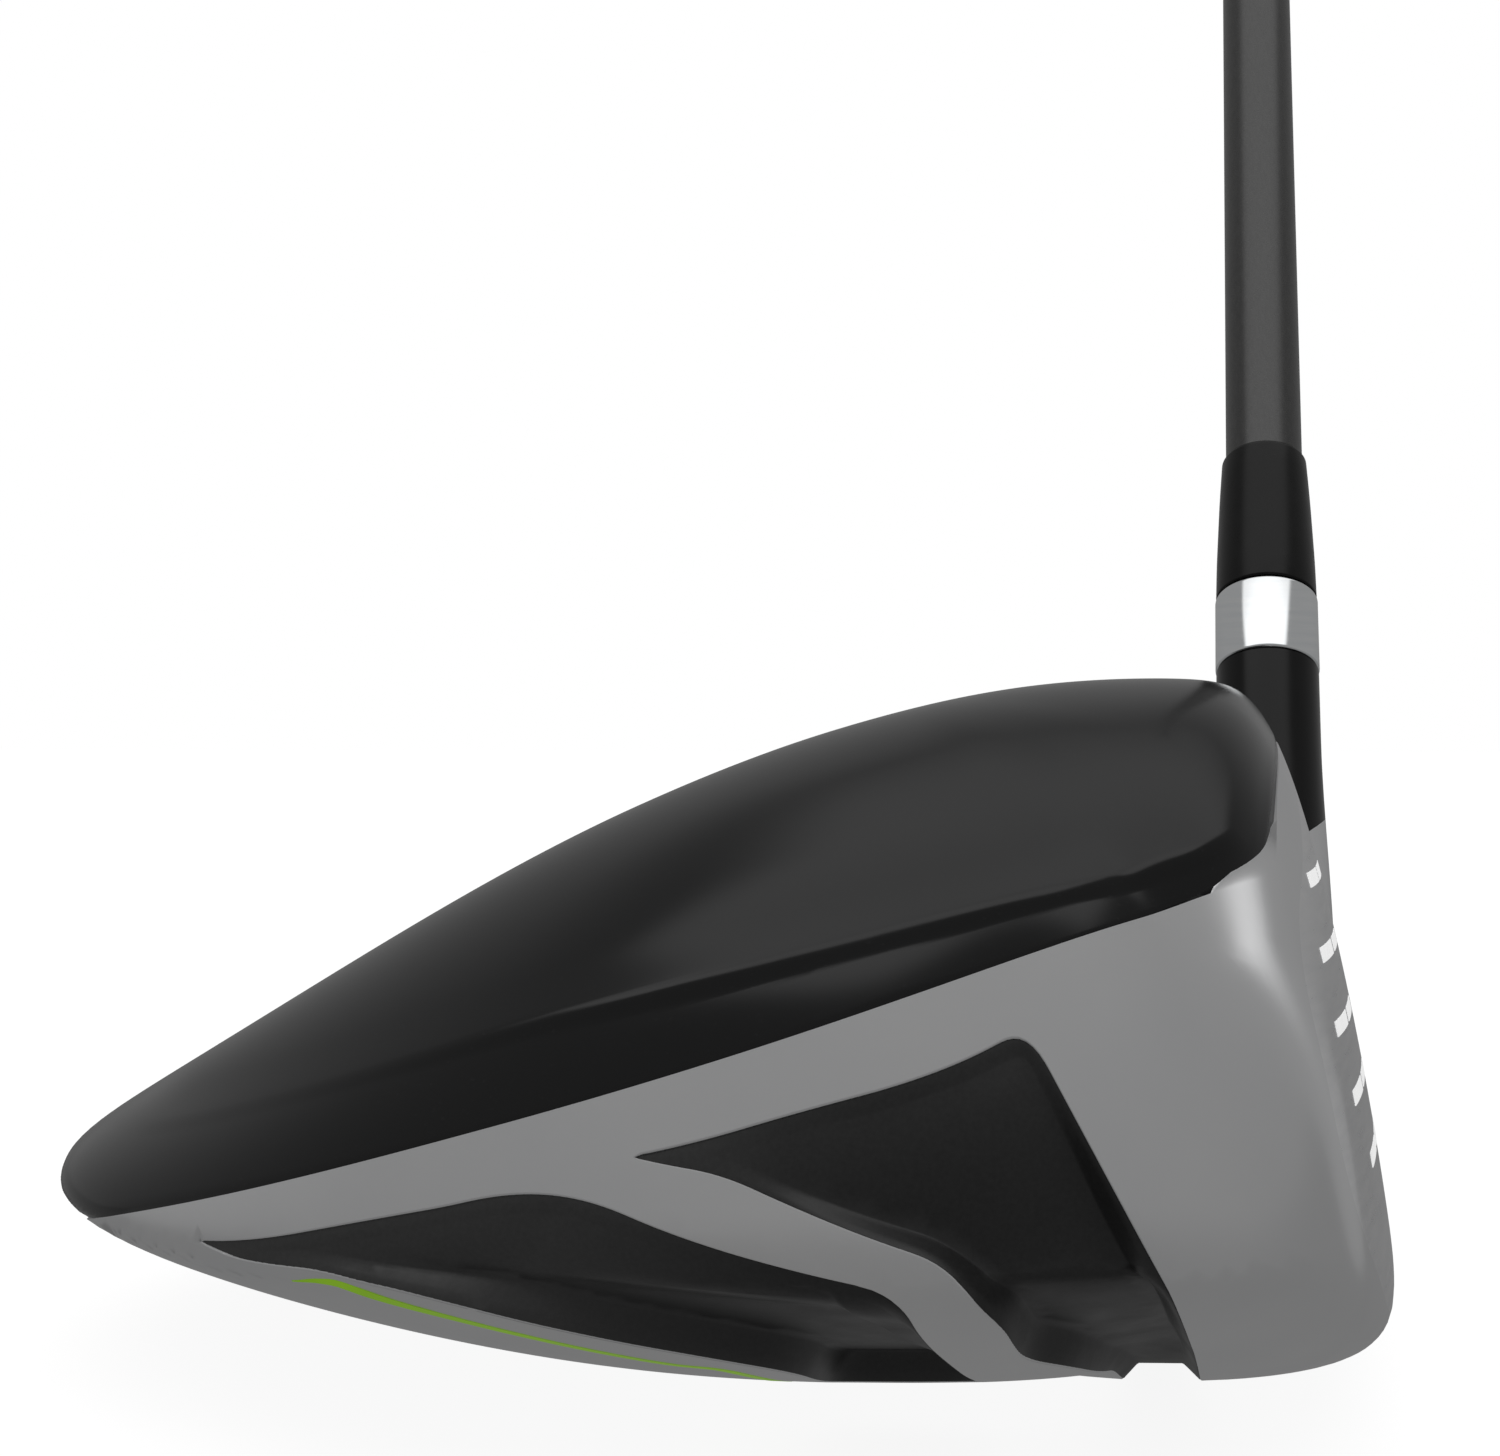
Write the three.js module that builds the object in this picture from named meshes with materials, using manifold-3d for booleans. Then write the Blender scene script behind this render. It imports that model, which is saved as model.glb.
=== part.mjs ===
// A right-handed golf driver: a hollow 450 cc head with a bonded, offset hosel,
// a ferrule, a tapered graphite shaft and a rubber grip.
//
// Frame, in millimetres: +X is the target side (the face looks along +X), -X the
// rear of the head, -Y the toe, +Y the heel and the grip, +Z up. The origin lies on
// the flat rest pad under the sole, which stands on z = 0.

import * as THREE from 'three';
import { ParametricGeometry } from 'three/addons/geometries/ParametricGeometry.js';
import { mergeVertices } from 'three/addons/utils/BufferGeometryUtils.js';
import Module from 'manifold-3d';

const wasm = await Module();
wasm.setup();

// ---------------------------------------------------------------- driving dimensions

const GAP = 0.3; // clearance left between neighbouring pieces
const INLAY_GAP = 0.6; // clearance round an inlay in its curved recess

// Head outline seen from above, measured from the pole, the point where all the
// vertical sections of the head cross.
const POLE = { x: 12.8, y: -2 };
const HEAD_REACH = 80; // half length of the outline before the face cuts it
const TOE_REACH = 61.6;
const HEEL_REACH = 52;
const OUTLINE_POWER = 2.25;
const FACE_X = 55.5; // face plane at mid height
const FACE_BULGE = 300; // heel-to-toe radius of the face
const FACE_ROLL = 300; // crown-to-sole radius of the face
const LOFT = THREE.MathUtils.degToRad(10.7);
const FACE_MID_Z = 30.3;
const TOE_CORNER_POWER = 7;
const HEEL_CORNER_POWER = 10;

// Section shapes: |reach|^n + |rise|^m = 1, for face, side and rear directions.
const CROWN_SECTION = { n: [28, 4.9, 2.1], m: [6.7, 2.3, 2.25] };
const SOLE_SECTION = { n: [14.5, 2.6, 2.2], m: [5, 2.1, 1.6] };
const SIDE_LIFT = 4.3; // how much higher the widest line lies at toe and heel
const REST_PAD_TRIM = 0.3; // how far the round sole would reach below its flat rest pad

// Walls and recesses
const CROWN_WALL = 1.6;
const SOLE_WALL = 5;
const FACE_WALL = 3.2;
const RECESS_DEPTH = 2.2; // from the sole surface to the black inlay
const INLAY_THICKNESS = 0.8;
const STRIP_THICKNESS = 0.6;
const STRIP_WIDTH = 1.1;
const SCORE_LINE = { rows: 5, pitch: 5.7, lowest: 23.4, length: 8.5, gap: 1.6, height: 1.2, depth: 0.5 };

// Hosel and shaft line. Stations are distances along the shaft axis from z = 0.
const LIE = THREE.MathUtils.degToRad(60);
const HOSEL_FOOT = { x: 49.4, y: 31 };
const HOSEL_RADIUS = 6.25;
const BORE_RADIUS = 5.2;
const BOSS_TIP = 13; // lowest station of the heel boss under the neck
const BORE_FLOOR = 24;
const RING_BOTTOM = 75.8;
const RING_TOP = 86.2;
const FERRULE_TOP = 108;
const SHAFT_RADIUS = 4.9;
const SHAFT_BUTT_RADIUS = 7.6;
const TAPER_START = 300;
const GRIP_MOUTH = 868;
const CLUB_LENGTH = 1143; // 45 inches, along the shaft axis
const SHAFT_WALL = { tip: 1.9, butt: 0.9 };
const TAPE_THICKNESS = 0.4;
const BOSS_FLARE = 13; // how far the foot of the neck spreads towards the crown

// ---------------------------------------------------------------- materials

const paint = (color, roughness, metalness) =>
  new THREE.MeshStandardMaterial({ color, roughness, metalness });

const GLOSS_BLACK = paint(0x26272a, 0.25, 0.1);
const SATIN_GREY = paint(0x85868a, 0.42, 0.7);
const FACE_METAL = paint(0x8a8b8e, 0.38, 0.8);
const INLAY_BLACK = paint(0x1c1d1f, 0.5, 0.1);
const ACCENT_GREEN = paint(0x7c9a35, 0.4, 0.1);
const FERRULE_BLACK = paint(0x1b1b1c, 0.3, 0);
const RING_SILVER = paint(0xc9cccd, 0.15, 1);
const GRAPHITE = paint(0x3b3b3d, 0.4, 0.2);
const RUBBER = paint(0x1f2021, 0.85, 0);
const TAPE = paint(0xd8d4c4, 0.9, 0);
const FOAM = paint(0x9a8f7c, 0.9, 0);

// ---------------------------------------------------------------- solids

// Joins equal vertices and drops the triangles that collapse to a line, so that a
// geometry becomes one closed indexed surface with its faces pointing out.
function closedSurface(geometry) {
  const bare = new THREE.BufferGeometry();
  bare.setAttribute('position', geometry.getAttribute('position'));
  bare.setIndex(geometry.getIndex());
  const merged = mergeVertices(bare, 1e-4);
  const position = merged.getAttribute('position');
  const index = merged.getIndex().array;
  const corners = [new THREE.Vector3(), new THREE.Vector3(), new THREE.Vector3()];
  const kept = [];
  let volume = 0;
  for (let i = 0; i < index.length; i += 3) {
    const [a, b, c] = index.slice(i, i + 3);
    if (a === b || b === c || c === a) continue;
    kept.push([a, b, c]);
    [a, b, c].forEach((vertex, k) => corners[k].fromBufferAttribute(position, vertex));
    volume += corners[0].dot(corners[1].cross(corners[2]));
  }
  const wound = volume < 0 ? kept.map(([a, b, c]) => [a, c, b]) : kept;
  merged.setIndex(wound.flat());
  return merged;
}

// With keepFacets, flat neighbouring triangles are never joined into one by a cut.
function toSolid(geometry, keepFacets = false) {
  const surface = closedSurface(geometry);
  const triVerts = new Uint32Array(surface.getIndex().array);
  const vertProperties = new Float32Array(surface.getAttribute('position').array);
  const mesh = { numProp: 3, vertProperties, triVerts };
  if (keepFacets) mesh.faceID = Uint32Array.from({ length: triVerts.length / 3 }, (_, face) => face);
  return new wasm.Manifold(new wasm.Mesh(mesh));
}

function toGeometry(solid) {
  const mesh = solid.getMesh();
  const geometry = new THREE.BufferGeometry();
  geometry.setAttribute('position', new THREE.BufferAttribute(mesh.vertProperties, 3));
  geometry.setIndex(new THREE.BufferAttribute(mesh.triVerts, 1));
  geometry.computeVertexNormals();
  return geometry;
}

// Keeps the largest body of a solid and drops crumbs left by a cut.
function mainBody(solid) {
  const bodies = solid.decompose();
  return bodies.reduce((best, body) => (body.volume() > best.volume() ? body : best));
}

// ---------------------------------------------------------------- head surface

const smoothStep = (value, low, high) => {
  const t = THREE.MathUtils.clamp((value - low) / (high - low), 0, 1);
  return t * t * (3 - 2 * t);
};

// Heights of the widest line, the crown and the sole over the plan position.
const widestHeight = (x) => 14.7 + 0.018 * x + 0.00086 * x * x;
const crownHeight = (x, y) => 56.3 + 0.295 * x - 0.00257 * x * x - 0.0000107 * x ** 3 - 0.00444 * y * y;
const soleHeight = (x, y) => -REST_PAD_TRIM + 0.00177 * x * x + 0.0024 * y * y;
// The seam climbs towards toe and heel, but dips where it runs out round the hosel.
const seamClimb = (x, y) => 0.0028 * y * y * (y < 0 ? 1 : 1 - smoothStep(x, 10, 45));
const seamHeight = (x, y) => 22.5 + 0.326 * x + 0.00243 * x * x + seamClimb(x, y);
const topLineX = (y) => 48 - (y * y) / (2 * FACE_BULGE);

// Distance from the pole to the outline, where the bulged face cuts a superellipse.
function outlineRadius(theta) {
  const cos = Math.cos(theta);
  const sin = Math.sin(theta);
  const centreX = FACE_X - POLE.x - FACE_BULGE;
  const centreY = -POLE.y;
  const along = centreX * cos + centreY * sin;
  const face = along + Math.sqrt(FACE_BULGE ** 2 - centreX ** 2 - centreY ** 2 + along ** 2);
  const side = sin < 0 ? TOE_REACH : HEEL_REACH;
  const oval = (Math.abs(cos / HEAD_REACH) ** OUTLINE_POWER
    + Math.abs(sin / side) ** OUTLINE_POWER) ** (-1 / OUTLINE_POWER);
  const power = THREE.MathUtils.lerp(TOE_CORNER_POWER, HEEL_CORNER_POWER, smoothStep(sin, -0.2, 0.2));
  return (face ** -power + oval ** -power) ** (-1 / power);
}

// Exponents of the section at a direction, and the value where reach equals rise.
function sectionShape({ n, m }, weights) {
  const blend = (values) => values.reduce((sum, value, i) => sum + value * weights[i], 0);
  const shape = { n: blend(n), m: blend(m) };
  let low = 0;
  let high = 1;
  for (let step = 0; step < 40; step++) {
    const middle = (low + high) / 2;
    if (middle ** shape.n + middle ** shape.m > 1) high = middle;
    else low = middle;
  }
  shape.corner = (low + high) / 2;
  return shape;
}

// The point of a section at latitude t: -1 is the sole pole, 0 the widest line and
// 1 the crown pole.
function sectionPoint(section, t) {
  const { n, m, corner } = t > 0 ? section.crown : section.sole;
  const climb = Math.abs(t);
  let rise = 2 * climb * corner;
  let reach = 2 * (1 - climb) * corner;
  if (climb <= 0.5) reach = (1 - rise ** m) ** (1 / n);
  else rise = (1 - reach ** n) ** (1 / m);
  const x = POLE.x + reach * section.radius * section.cos;
  const y = POLE.y + reach * section.radius * section.sin;
  const end = t > 0 ? crownHeight(x, y) : soleHeight(x, y);
  const z = section.widest + (end - section.widest) * rise;
  const over = z - FACE_MID_Z;
  const leanBack = over * Math.tan(LOFT) + (over * over) / (2 * FACE_ROLL);
  return new THREE.Vector3(x - smoothStep(x, -11, 49) * leanBack, y, z);
}

const SECTION_STEPS = 96;
const sectionCache = new Map();

// A vertical half section of the head with its arc length from the sole pole.
function sectionAt(theta) {
  const key = theta.toFixed(9);
  if (sectionCache.has(key)) return sectionCache.get(key);
  const turn = Math.abs(Math.atan2(Math.sin(theta), Math.cos(theta)));
  const front = 1 - smoothStep(turn, Math.PI * 25 / 180, Math.PI * 60 / 180);
  const rear = smoothStep(turn, Math.PI * 100 / 180, Math.PI);
  const weights = [front, 1 - front - rear, rear];
  const radius = outlineRadius(theta);
  const section = {
    cos: Math.cos(theta),
    sin: Math.sin(theta),
    radius,
    widest: widestHeight(POLE.x + radius * Math.cos(theta)) + SIDE_LIFT * Math.sin(theta) ** 2 * (1 - front),
    crown: sectionShape(CROWN_SECTION, weights),
    sole: sectionShape(SOLE_SECTION, weights),
    arc: [0],
  };
  let last = sectionPoint(section, -1);
  for (let step = 1; step <= SECTION_STEPS; step++) {
    const next = sectionPoint(section, -1 + (2 * step) / SECTION_STEPS);
    section.arc.push(section.arc[step - 1] + next.distanceTo(last));
    last = next;
  }
  sectionCache.set(key, section);
  return section;
}

// The point at an arc length up a section from the sole pole.
function pointAtArc(section, length) {
  const { arc } = section;
  let step = 1;
  while (step < SECTION_STEPS && arc[step] < length) step++;
  const share = (length - arc[step - 1]) / (arc[step] - arc[step - 1]);
  return sectionPoint(section, -1 + (2 * (step - 1 + share)) / SECTION_STEPS);
}

// The unrolled chart of the head: a flat disc round the sole pole, whose directions
// are those of the plan and whose radius is the arc length up the section.
const fromChart = (u, v) => pointAtArc(sectionAt(Math.atan2(v, u)), Math.hypot(u, v));

function lifted(u, v, height) {
  const h = 0.05;
  const du = fromChart(u + h, v).sub(fromChart(u - h, v));
  const dv = fromChart(u, v + h).sub(fromChart(u, v - h));
  const outward = dv.cross(du).normalize();
  return fromChart(u, v).addScaledVector(outward, height);
}

// Positive on the crown side of the seam, with a rounded corner at the toe.
function crownSide(point) {
  const above = point.z - seamHeight(point.x, point.y);
  const behind = topLineX(point.y) - point.x;
  const round = 2;
  const mix = Math.max(round - Math.abs(above - behind), 0) / round;
  return Math.min(above, behind) - (mix * mix * round) / 4;
}

const seamCache = new Map();

// Arc length from the sole pole to the seam.
function seamArc(theta) {
  const key = theta.toFixed(9);
  if (seamCache.has(key)) return seamCache.get(key);
  const section = sectionAt(theta);
  const total = section.arc[SECTION_STEPS];
  let low = 45;
  while (low < total && crownSide(pointAtArc(section, low + 1)) < 0) low += 1;
  let high = low + 1;
  for (let step = 0; step < 30; step++) {
    const middle = (low + high) / 2;
    if (crownSide(pointAtArc(section, middle)) < 0) low = middle;
    else high = middle;
  }
  seamCache.set(key, low);
  return low;
}

const AROUND = 46;
const SOLE_ROWS = 12;
const CROWN_ROWS = 7;

// Walls get thinner towards the narrow rear edge of the head.
const rearThinning = (u) => 1 - 0.6 * smoothStep(-u, 50, 72);

// A bowl of the head between a pole and the seam: an outer skin, a rim and an inner
// skin, at two heights above the head surface. startArc and endArc give the arc
// lengths of the pole and of the edge.
function headShell(startArc, endArc, [outerHeight, innerHeight], rows) {
  const bands = 2 * rows + 1;
  return toSolid(new ParametricGeometry((turn, across, target) => {
    const theta = 2 * Math.PI * (turn % 1);
    const band = Math.round(across * bands);
    const inner = band > rows;
    const share = inner ? (bands - band) / rows : band / rows;
    const start = startArc(theta);
    const length = start + (endArc(theta) - start) * share;
    const edgeOn = share === 0 ? 0 : theta;
    const reach = share === 0 ? startArc(0) : length;
    const u = reach * Math.cos(edgeOn);
    const height = inner ? innerHeight * rearThinning(u) : outerHeight;
    target.copy(lifted(u, reach * Math.sin(edgeOn), height));
  }, AROUND, bands));
}

const totalArc = (theta) => sectionAt(theta).arc[SECTION_STEPS];

// The whole outside of the head as one solid.
function headSolid(grow = 0) {
  const rows = SOLE_ROWS + CROWN_ROWS;
  return toSolid(new ParametricGeometry((turn, across, target) => {
    const theta = 2 * Math.PI * (turn % 1);
    const band = Math.round(across * rows);
    const atPole = band === 0 || band === rows;
    const direction = atPole ? 0 : theta;
    const length = totalArc(direction) * (band === rows ? 0.99999 : band / rows);
    target.copy(lifted(length * Math.cos(direction), length * Math.sin(direction), grow));
  }, AROUND, rows));
}

// ---------------------------------------------------------------- chart outlines

const LATTICE_CELL = 7;
const LATTICE_CELLS = 14; // cells from the middle of the lattice to its side

// A closed outline whose corners are rounded: each corner is [u, v, radius].
function roundedOutline(corners) {
  const outline = new THREE.Shape();
  corners.forEach(([u, v, radius], i) => {
    const before = corners[(i + corners.length - 1) % corners.length];
    const after = corners[(i + 1) % corners.length];
    const corner = new THREE.Vector2(u, v);
    const towards = (other) => {
      const away = new THREE.Vector2(other[0], other[1]).sub(corner);
      return corner.clone().addScaledVector(away.normalize(), radius);
    };
    const enter = towards(before);
    const leave = towards(after);
    if (i === 0) outline.moveTo(enter.x, enter.y);
    else outline.lineTo(enter.x, enter.y);
    outline.quadraticCurveTo(u, v, leave.x, leave.y);
  });
  outline.closePath();
  return outline.getPoints(4);
}

// Moves the straight sides of a cornered outline sideways, with mitred corners: a
// positive amount makes the outline larger.
function grownCorners(corners, amount) {
  const points = corners.map(([u, v]) => new THREE.Vector2(u, v));
  const turn = THREE.ShapeUtils.area(points) > 0 ? 1 : -1;
  const side = (i) => {
    const along = points[(i + 1) % points.length].clone().sub(points[i]).normalize();
    return new THREE.Vector2(along.y, -along.x).multiplyScalar(turn);
  };
  return corners.map(([u, v, radius], i) => {
    const before = side((i + points.length - 1) % points.length);
    const after = side(i);
    const mitre = before.clone().add(after).multiplyScalar(amount / (1 + before.dot(after)));
    return [u + mitre.x, v + mitre.y, radius];
  });
}

// A slab that follows the head surface under a chart outline, from the bottom to
// the top height above the surface. A flat lattice is cut to the outline and then
// wrapped onto the head.
function chartSlab(points, bottom, top) {
  const size = 2 * LATTICE_CELLS * LATTICE_CELL;
  const flat = new THREE.BoxGeometry(size, size, top - bottom, 2 * LATTICE_CELLS, 2 * LATTICE_CELLS, 1);
  const lattice = toSolid(flat.translate(0, 0, (bottom + top) / 2), true);
  const prism = new THREE.ExtrudeGeometry(new THREE.Shape(points), { depth: 20, bevelEnabled: false });
  const wrapped = toGeometry(lattice.intersect(toSolid(prism.translate(0, 0, -10))));
  const position = wrapped.getAttribute('position');
  for (let i = 0; i < position.count; i++) {
    const point = lifted(position.getX(i), position.getY(i), position.getZ(i));
    position.setXYZ(i, point.x, point.y, point.z);
  }
  return toSolid(wrapped);
}

// The heel side mirrors the toe side, narrowed in step with its shorter reach.
const HEEL_SCALE = HEEL_REACH / TOE_REACH;
const mirrored = (corners) => corners.map(([u, v, radius]) => [u, -v * HEEL_SCALE, radius]).reverse();
const flipped = (points) => points.map(({ x, y }) => new THREE.Vector2(x, -y * HEEL_SCALE)).reverse();

// Front recess: a wedge on the toe side that runs on as a channel across the sole
// to a matching wedge at the heel.
const FRONT_WEDGE = [
  [19.8, -30, 3], [14.2, -52, 3], [14.2, -62, 2.5], [11.7, -67.4, 2.5], [0, -72.8, 6],
  [-15.5, -75.2, 0.8], [5, -80, 6], [26, -82, 3.5], [26.2, -30, 3],
];
const FRONT_CHANNEL = [...FRONT_WEDGE, ...mirrored(FRONT_WEDGE)];

// Rear recess: a long slot under the skirt that turns in across the sole.
const TOE_REAR_RECESS = [
  [-52.5, -55, 0.8], [-38, -65, 6], [-20.5, -72.6, 6], [6.5, -66, 2.5], [8.7, -59, 3],
  [9.2, -30, 4], [-3, -30, 4], [-3.6, -49.5, 5], [-25, -62, 6], [-38.5, -61.2, 4],
];

// Accent strip: follows the lower edge of the rear recess, then turns inwards.
const STRIP_PATH = new THREE.SplineCurve([
  new THREE.Vector2(-41.6, -57.6),
  new THREE.Vector2(-35, -59.4),
  new THREE.Vector2(-27, -57.8),
  new THREE.Vector2(-9, -46),
  new THREE.Vector2(-6.5, -34),
]);

function stripOutline(width) {
  const left = [];
  const right = [];
  const steps = 10;
  for (let i = 0; i <= steps; i++) {
    const point = STRIP_PATH.getPoint(i / steps);
    const along = STRIP_PATH.getTangent(i / steps);
    const side = new THREE.Vector2(-along.y, along.x).multiplyScalar(width / 2);
    left.push(point.clone().add(side));
    right.unshift(point.clone().sub(side));
  }
  return [...left, ...right];
}

// ---------------------------------------------------------------- shaft line solids

// Turns a geometry built along +Y so that it lies along the shaft axis.
function alongShaft(geometry) {
  return geometry.rotateX(LIE).translate(HOSEL_FOOT.x, HOSEL_FOOT.y, 0);
}

// A turned piece. Each profile pair is [radius, station].
function turned(profile, segments = 24) {
  const loop = [...profile, profile[0]].map(([radius, station]) => new THREE.Vector2(radius, station));
  return new THREE.LatheGeometry(loop, segments);
}

function rod(radius, bottom, top, segments = 24) {
  return toSolid(alongShaft(new THREE.CylinderGeometry(radius, radius, top - bottom, segments)
    .translate(0, (bottom + top) / 2, 0)));
}

function shaftRadius(station) {
  const share = Math.max(station - TAPER_START, 0) / (CLUB_LENGTH - TAPER_START);
  return THREE.MathUtils.lerp(SHAFT_RADIUS, SHAFT_BUTT_RADIUS, share);
}

// The heel boss and the neck in one: round at the top, flared towards the crown
// and the rear lower down, and rounded off at its lower tip.
function neckAndBoss() {
  const stations = [BOSS_TIP, 14, 17, 22, 30, 38, 44, 49, 54, 59, 64, RING_BOTTOM - GAP, RING_BOTTOM - GAP];
  const radii = [0, 3.4, 5.6, 6.8, 7.2, 7, 6.8, 6.6, 6.45, 6.35, HOSEL_RADIUS, HOSEL_RADIUS, 0];
  const flareTowards = THREE.MathUtils.degToRad(125);
  const segments = 24;
  return toSolid(alongShaft(new ParametricGeometry((turn, along, target) => {
    const phi = 2 * Math.PI * (turn % 1);
    const row = Math.round(along * (stations.length - 1));
    const facing = Math.max(Math.cos(phi - flareTowards), 0) ** 2;
    const flare = radii[row] > 0 ? BOSS_FLARE * (1 - smoothStep(stations[row], 36, 66)) ** 1.5 : 0;
    const radius = radii[row] + flare * facing * smoothStep(stations[row], BOSS_TIP, 24);
    target.set(radius * Math.cos(phi), stations[row], radius * Math.sin(phi));
  }, segments, stations.length - 1)));
}

// A block whose lower side is the seam surface raised by an offset.
function aboveSeam(offset) {
  const half = 110;
  return toSolid(new ParametricGeometry((turn, along, target) => {
    const row = Math.round(along * 15);
    const inset = row === 0 || row === 15 ? 0 : 1;
    const angle = 2 * Math.PI * (turn % 1);
    if (row >= 14) {
      target.set(half * inset * Math.cos(angle), half * inset * Math.sin(angle), 150);
      return;
    }
    const radius = (half * row) / 13;
    const x = radius * Math.cos(angle);
    const y = radius * Math.sin(angle);
    target.set(x, y, seamHeight(x, y) + offset);
  }, 36, 15));
}

// ---------------------------------------------------------------- head pieces

const head = headSolid();
const boss = neckAndBoss();
const bore = rod(BORE_RADIUS, BORE_FLOOR, 120);

// The face insert outline, seen along X: [y, z].
const FACE_OUTLINE = [
  [-30, 10, 8], [20, 10, 8], [33, 22, 8], [35, 40, 8],
  [12, 53.6, 12], [-16, 53.6, 12], [-42, 43, 8], [-43, 22, 8],
];

function faceBlock(amount) {
  const points = roundedOutline(grownCorners(FACE_OUTLINE, amount));
  const block = new THREE.ExtrudeGeometry(new THREE.Shape(points), { depth: 40, bevelEnabled: false });
  return toSolid(block.applyMatrix4(new THREE.Matrix4().makeBasis(
    new THREE.Vector3(0, 1, 0), new THREE.Vector3(0, 0, 1), new THREE.Vector3(1, 0, 0),
  )).translate(28, 0, 0));
}

// Bars that stand where the score lines are cut, two on each side of each row.
function scoreBars() {
  const { rows, pitch, lowest, length, gap, height } = SCORE_LINE;
  const bars = [];
  for (let row = 0; row < rows; row++) {
    const start = 27 + 8.5 * Math.sin((Math.PI * (row + 0.4)) / rows);
    for (const side of [-1, 1]) {
      for (const dash of [0, 1]) {
        const y = side * (start - length / 2 - dash * (length + gap));
        const bar = new THREE.BoxGeometry(40, length, height);
        bars.push(toSolid(bar.translate(48, y, lowest + pitch * row)));
      }
    }
  }
  return bars.reduce((all, bar) => all.add(bar));
}

function facePlate() {
  const block = head.intersect(faceBlock(-GAP));
  const behind = head.translate([-FACE_WALL, 0, 0]);
  const grooves = scoreBars().subtract(head.translate([-SCORE_LINE.depth, 0, 0]));
  return mainBody(block.subtract(behind).subtract(grooves));
}

// The crown stops short of a bowl that stands GAP outside the sole body.
function crownShell() {
  const clearArc = (theta) => seamArc(theta) + GAP;
  const clearance = headShell(() => 0, clearArc, [1, -SOLE_WALL - 4 * GAP], SOLE_ROWS);
  const shell = headShell(totalArc, seamArc, [0, -CROWN_WALL], CROWN_ROWS).subtract(clearance);
  return mainBody(shell.subtract(boss.translate([-GAP, -GAP, 0])).subtract(boss));
}

const RECESSES = [FRONT_CHANNEL, TOE_REAR_RECESS, mirrored(TOE_REAR_RECESS)];

function recess(corners) {
  return chartSlab(roundedOutline(corners), -RECESS_DEPTH - INLAY_THICKNESS - INLAY_GAP, 1.5);
}

// The black panel on the floor of a recess.
function inlay(corners) {
  const outline = roundedOutline(grownCorners(corners, -INLAY_GAP));
  const panel = chartSlab(outline, -RECESS_DEPTH - INLAY_THICKNESS, -RECESS_DEPTH);
  return mainBody(panel.intersect(recess(corners)));
}

function soleBody() {
  const bossBelow = boss.subtract(aboveSeam(-GAP / 2));
  let body = headShell(() => 0, seamArc, [0, -SOLE_WALL], SOLE_ROWS).add(bossBelow);
  body = body.subtract(faceBlock(0));
  for (const corners of RECESSES) body = body.subtract(recess(corners));
  const groove = stripOutline(STRIP_WIDTH + 2 * GAP);
  for (const outline of [groove, flipped(groove)]) {
    body = body.subtract(chartSlab(outline, -STRIP_THICKNESS - GAP, 1));
  }
  const size = 2 * HEAD_REACH;
  const ground = toSolid(new THREE.BoxGeometry(size, size, 10).translate(0, 0, -5));
  return mainBody(body.subtract(bore).subtract(ground));
}

function hoselNeck() {
  return mainBody(boss.intersect(aboveSeam(GAP / 2)).subtract(headSolid(GAP)).subtract(bore));
}

// ---------------------------------------------------------------- scene graph

const driver = new THREE.Group();

function addPiece(parent, name, geometry, material) {
  const mesh = new THREE.Mesh(geometry, material);
  mesh.name = name;
  parent.add(mesh);
  return mesh;
}

const headGroup = new THREE.Group();
driver.add(headGroup);

const strip = stripOutline(STRIP_WIDTH);
const headPieces = [
  ['crown', crownShell(), GLOSS_BLACK],
  ['sole_body', soleBody(), SATIN_GREY],
  ['face_plate', facePlate(), FACE_METAL],
  ['hosel_neck', hoselNeck(), GLOSS_BLACK],
  ['front_channel_inlay', inlay(RECESSES[0]), INLAY_BLACK],
  ['toe_rear_inlay', inlay(RECESSES[1]), INLAY_BLACK],
  ['heel_rear_inlay', inlay(RECESSES[2]), INLAY_BLACK],
  ['toe_accent_strip', chartSlab(strip, -STRIP_THICKNESS, 0), ACCENT_GREEN],
  ['heel_accent_strip', chartSlab(flipped(strip), -STRIP_THICKNESS, 0), ACCENT_GREEN],
];
for (const [name, solid, material] of headPieces) addPiece(headGroup, name, toGeometry(solid), material);

// The pieces on the shaft line are turned about +Y and leaned over to the lie angle.
const shaftLine = new THREE.Group();
shaftLine.position.set(HOSEL_FOOT.x, HOSEL_FOOT.y, 0);
shaftLine.rotation.x = LIE;
driver.add(shaftLine);

const SLEEVE_BORE = SHAFT_RADIUS + GAP;
const BUTT = CLUB_LENGTH - 7;
const SHAFT_TIP = BORE_FLOOR + 5;
const TIP_BORE = SHAFT_RADIUS - SHAFT_WALL.tip;
const CAP_BOTTOM = CLUB_LENGTH - 5;

const shaftWall = (station) => (station > TAPER_START ? SHAFT_WALL.butt : SHAFT_WALL.tip);
const shaftStations = [SHAFT_TIP, TAPER_START, BUTT];
const shaftProfile = [
  ...shaftStations.map((station) => [shaftRadius(station), station]),
  ...shaftStations.toReversed().map((station) => [shaftRadius(station) - shaftWall(station), station]),
];

const tapeStations = [GRIP_MOUTH + 4, BUTT];
const tapeProfile = [
  ...tapeStations.map((station) => [shaftRadius(station) + GAP + TAPE_THICKNESS, station]),
  ...tapeStations.toReversed().map((station) => [shaftRadius(station) + GAP, station]),
];

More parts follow.
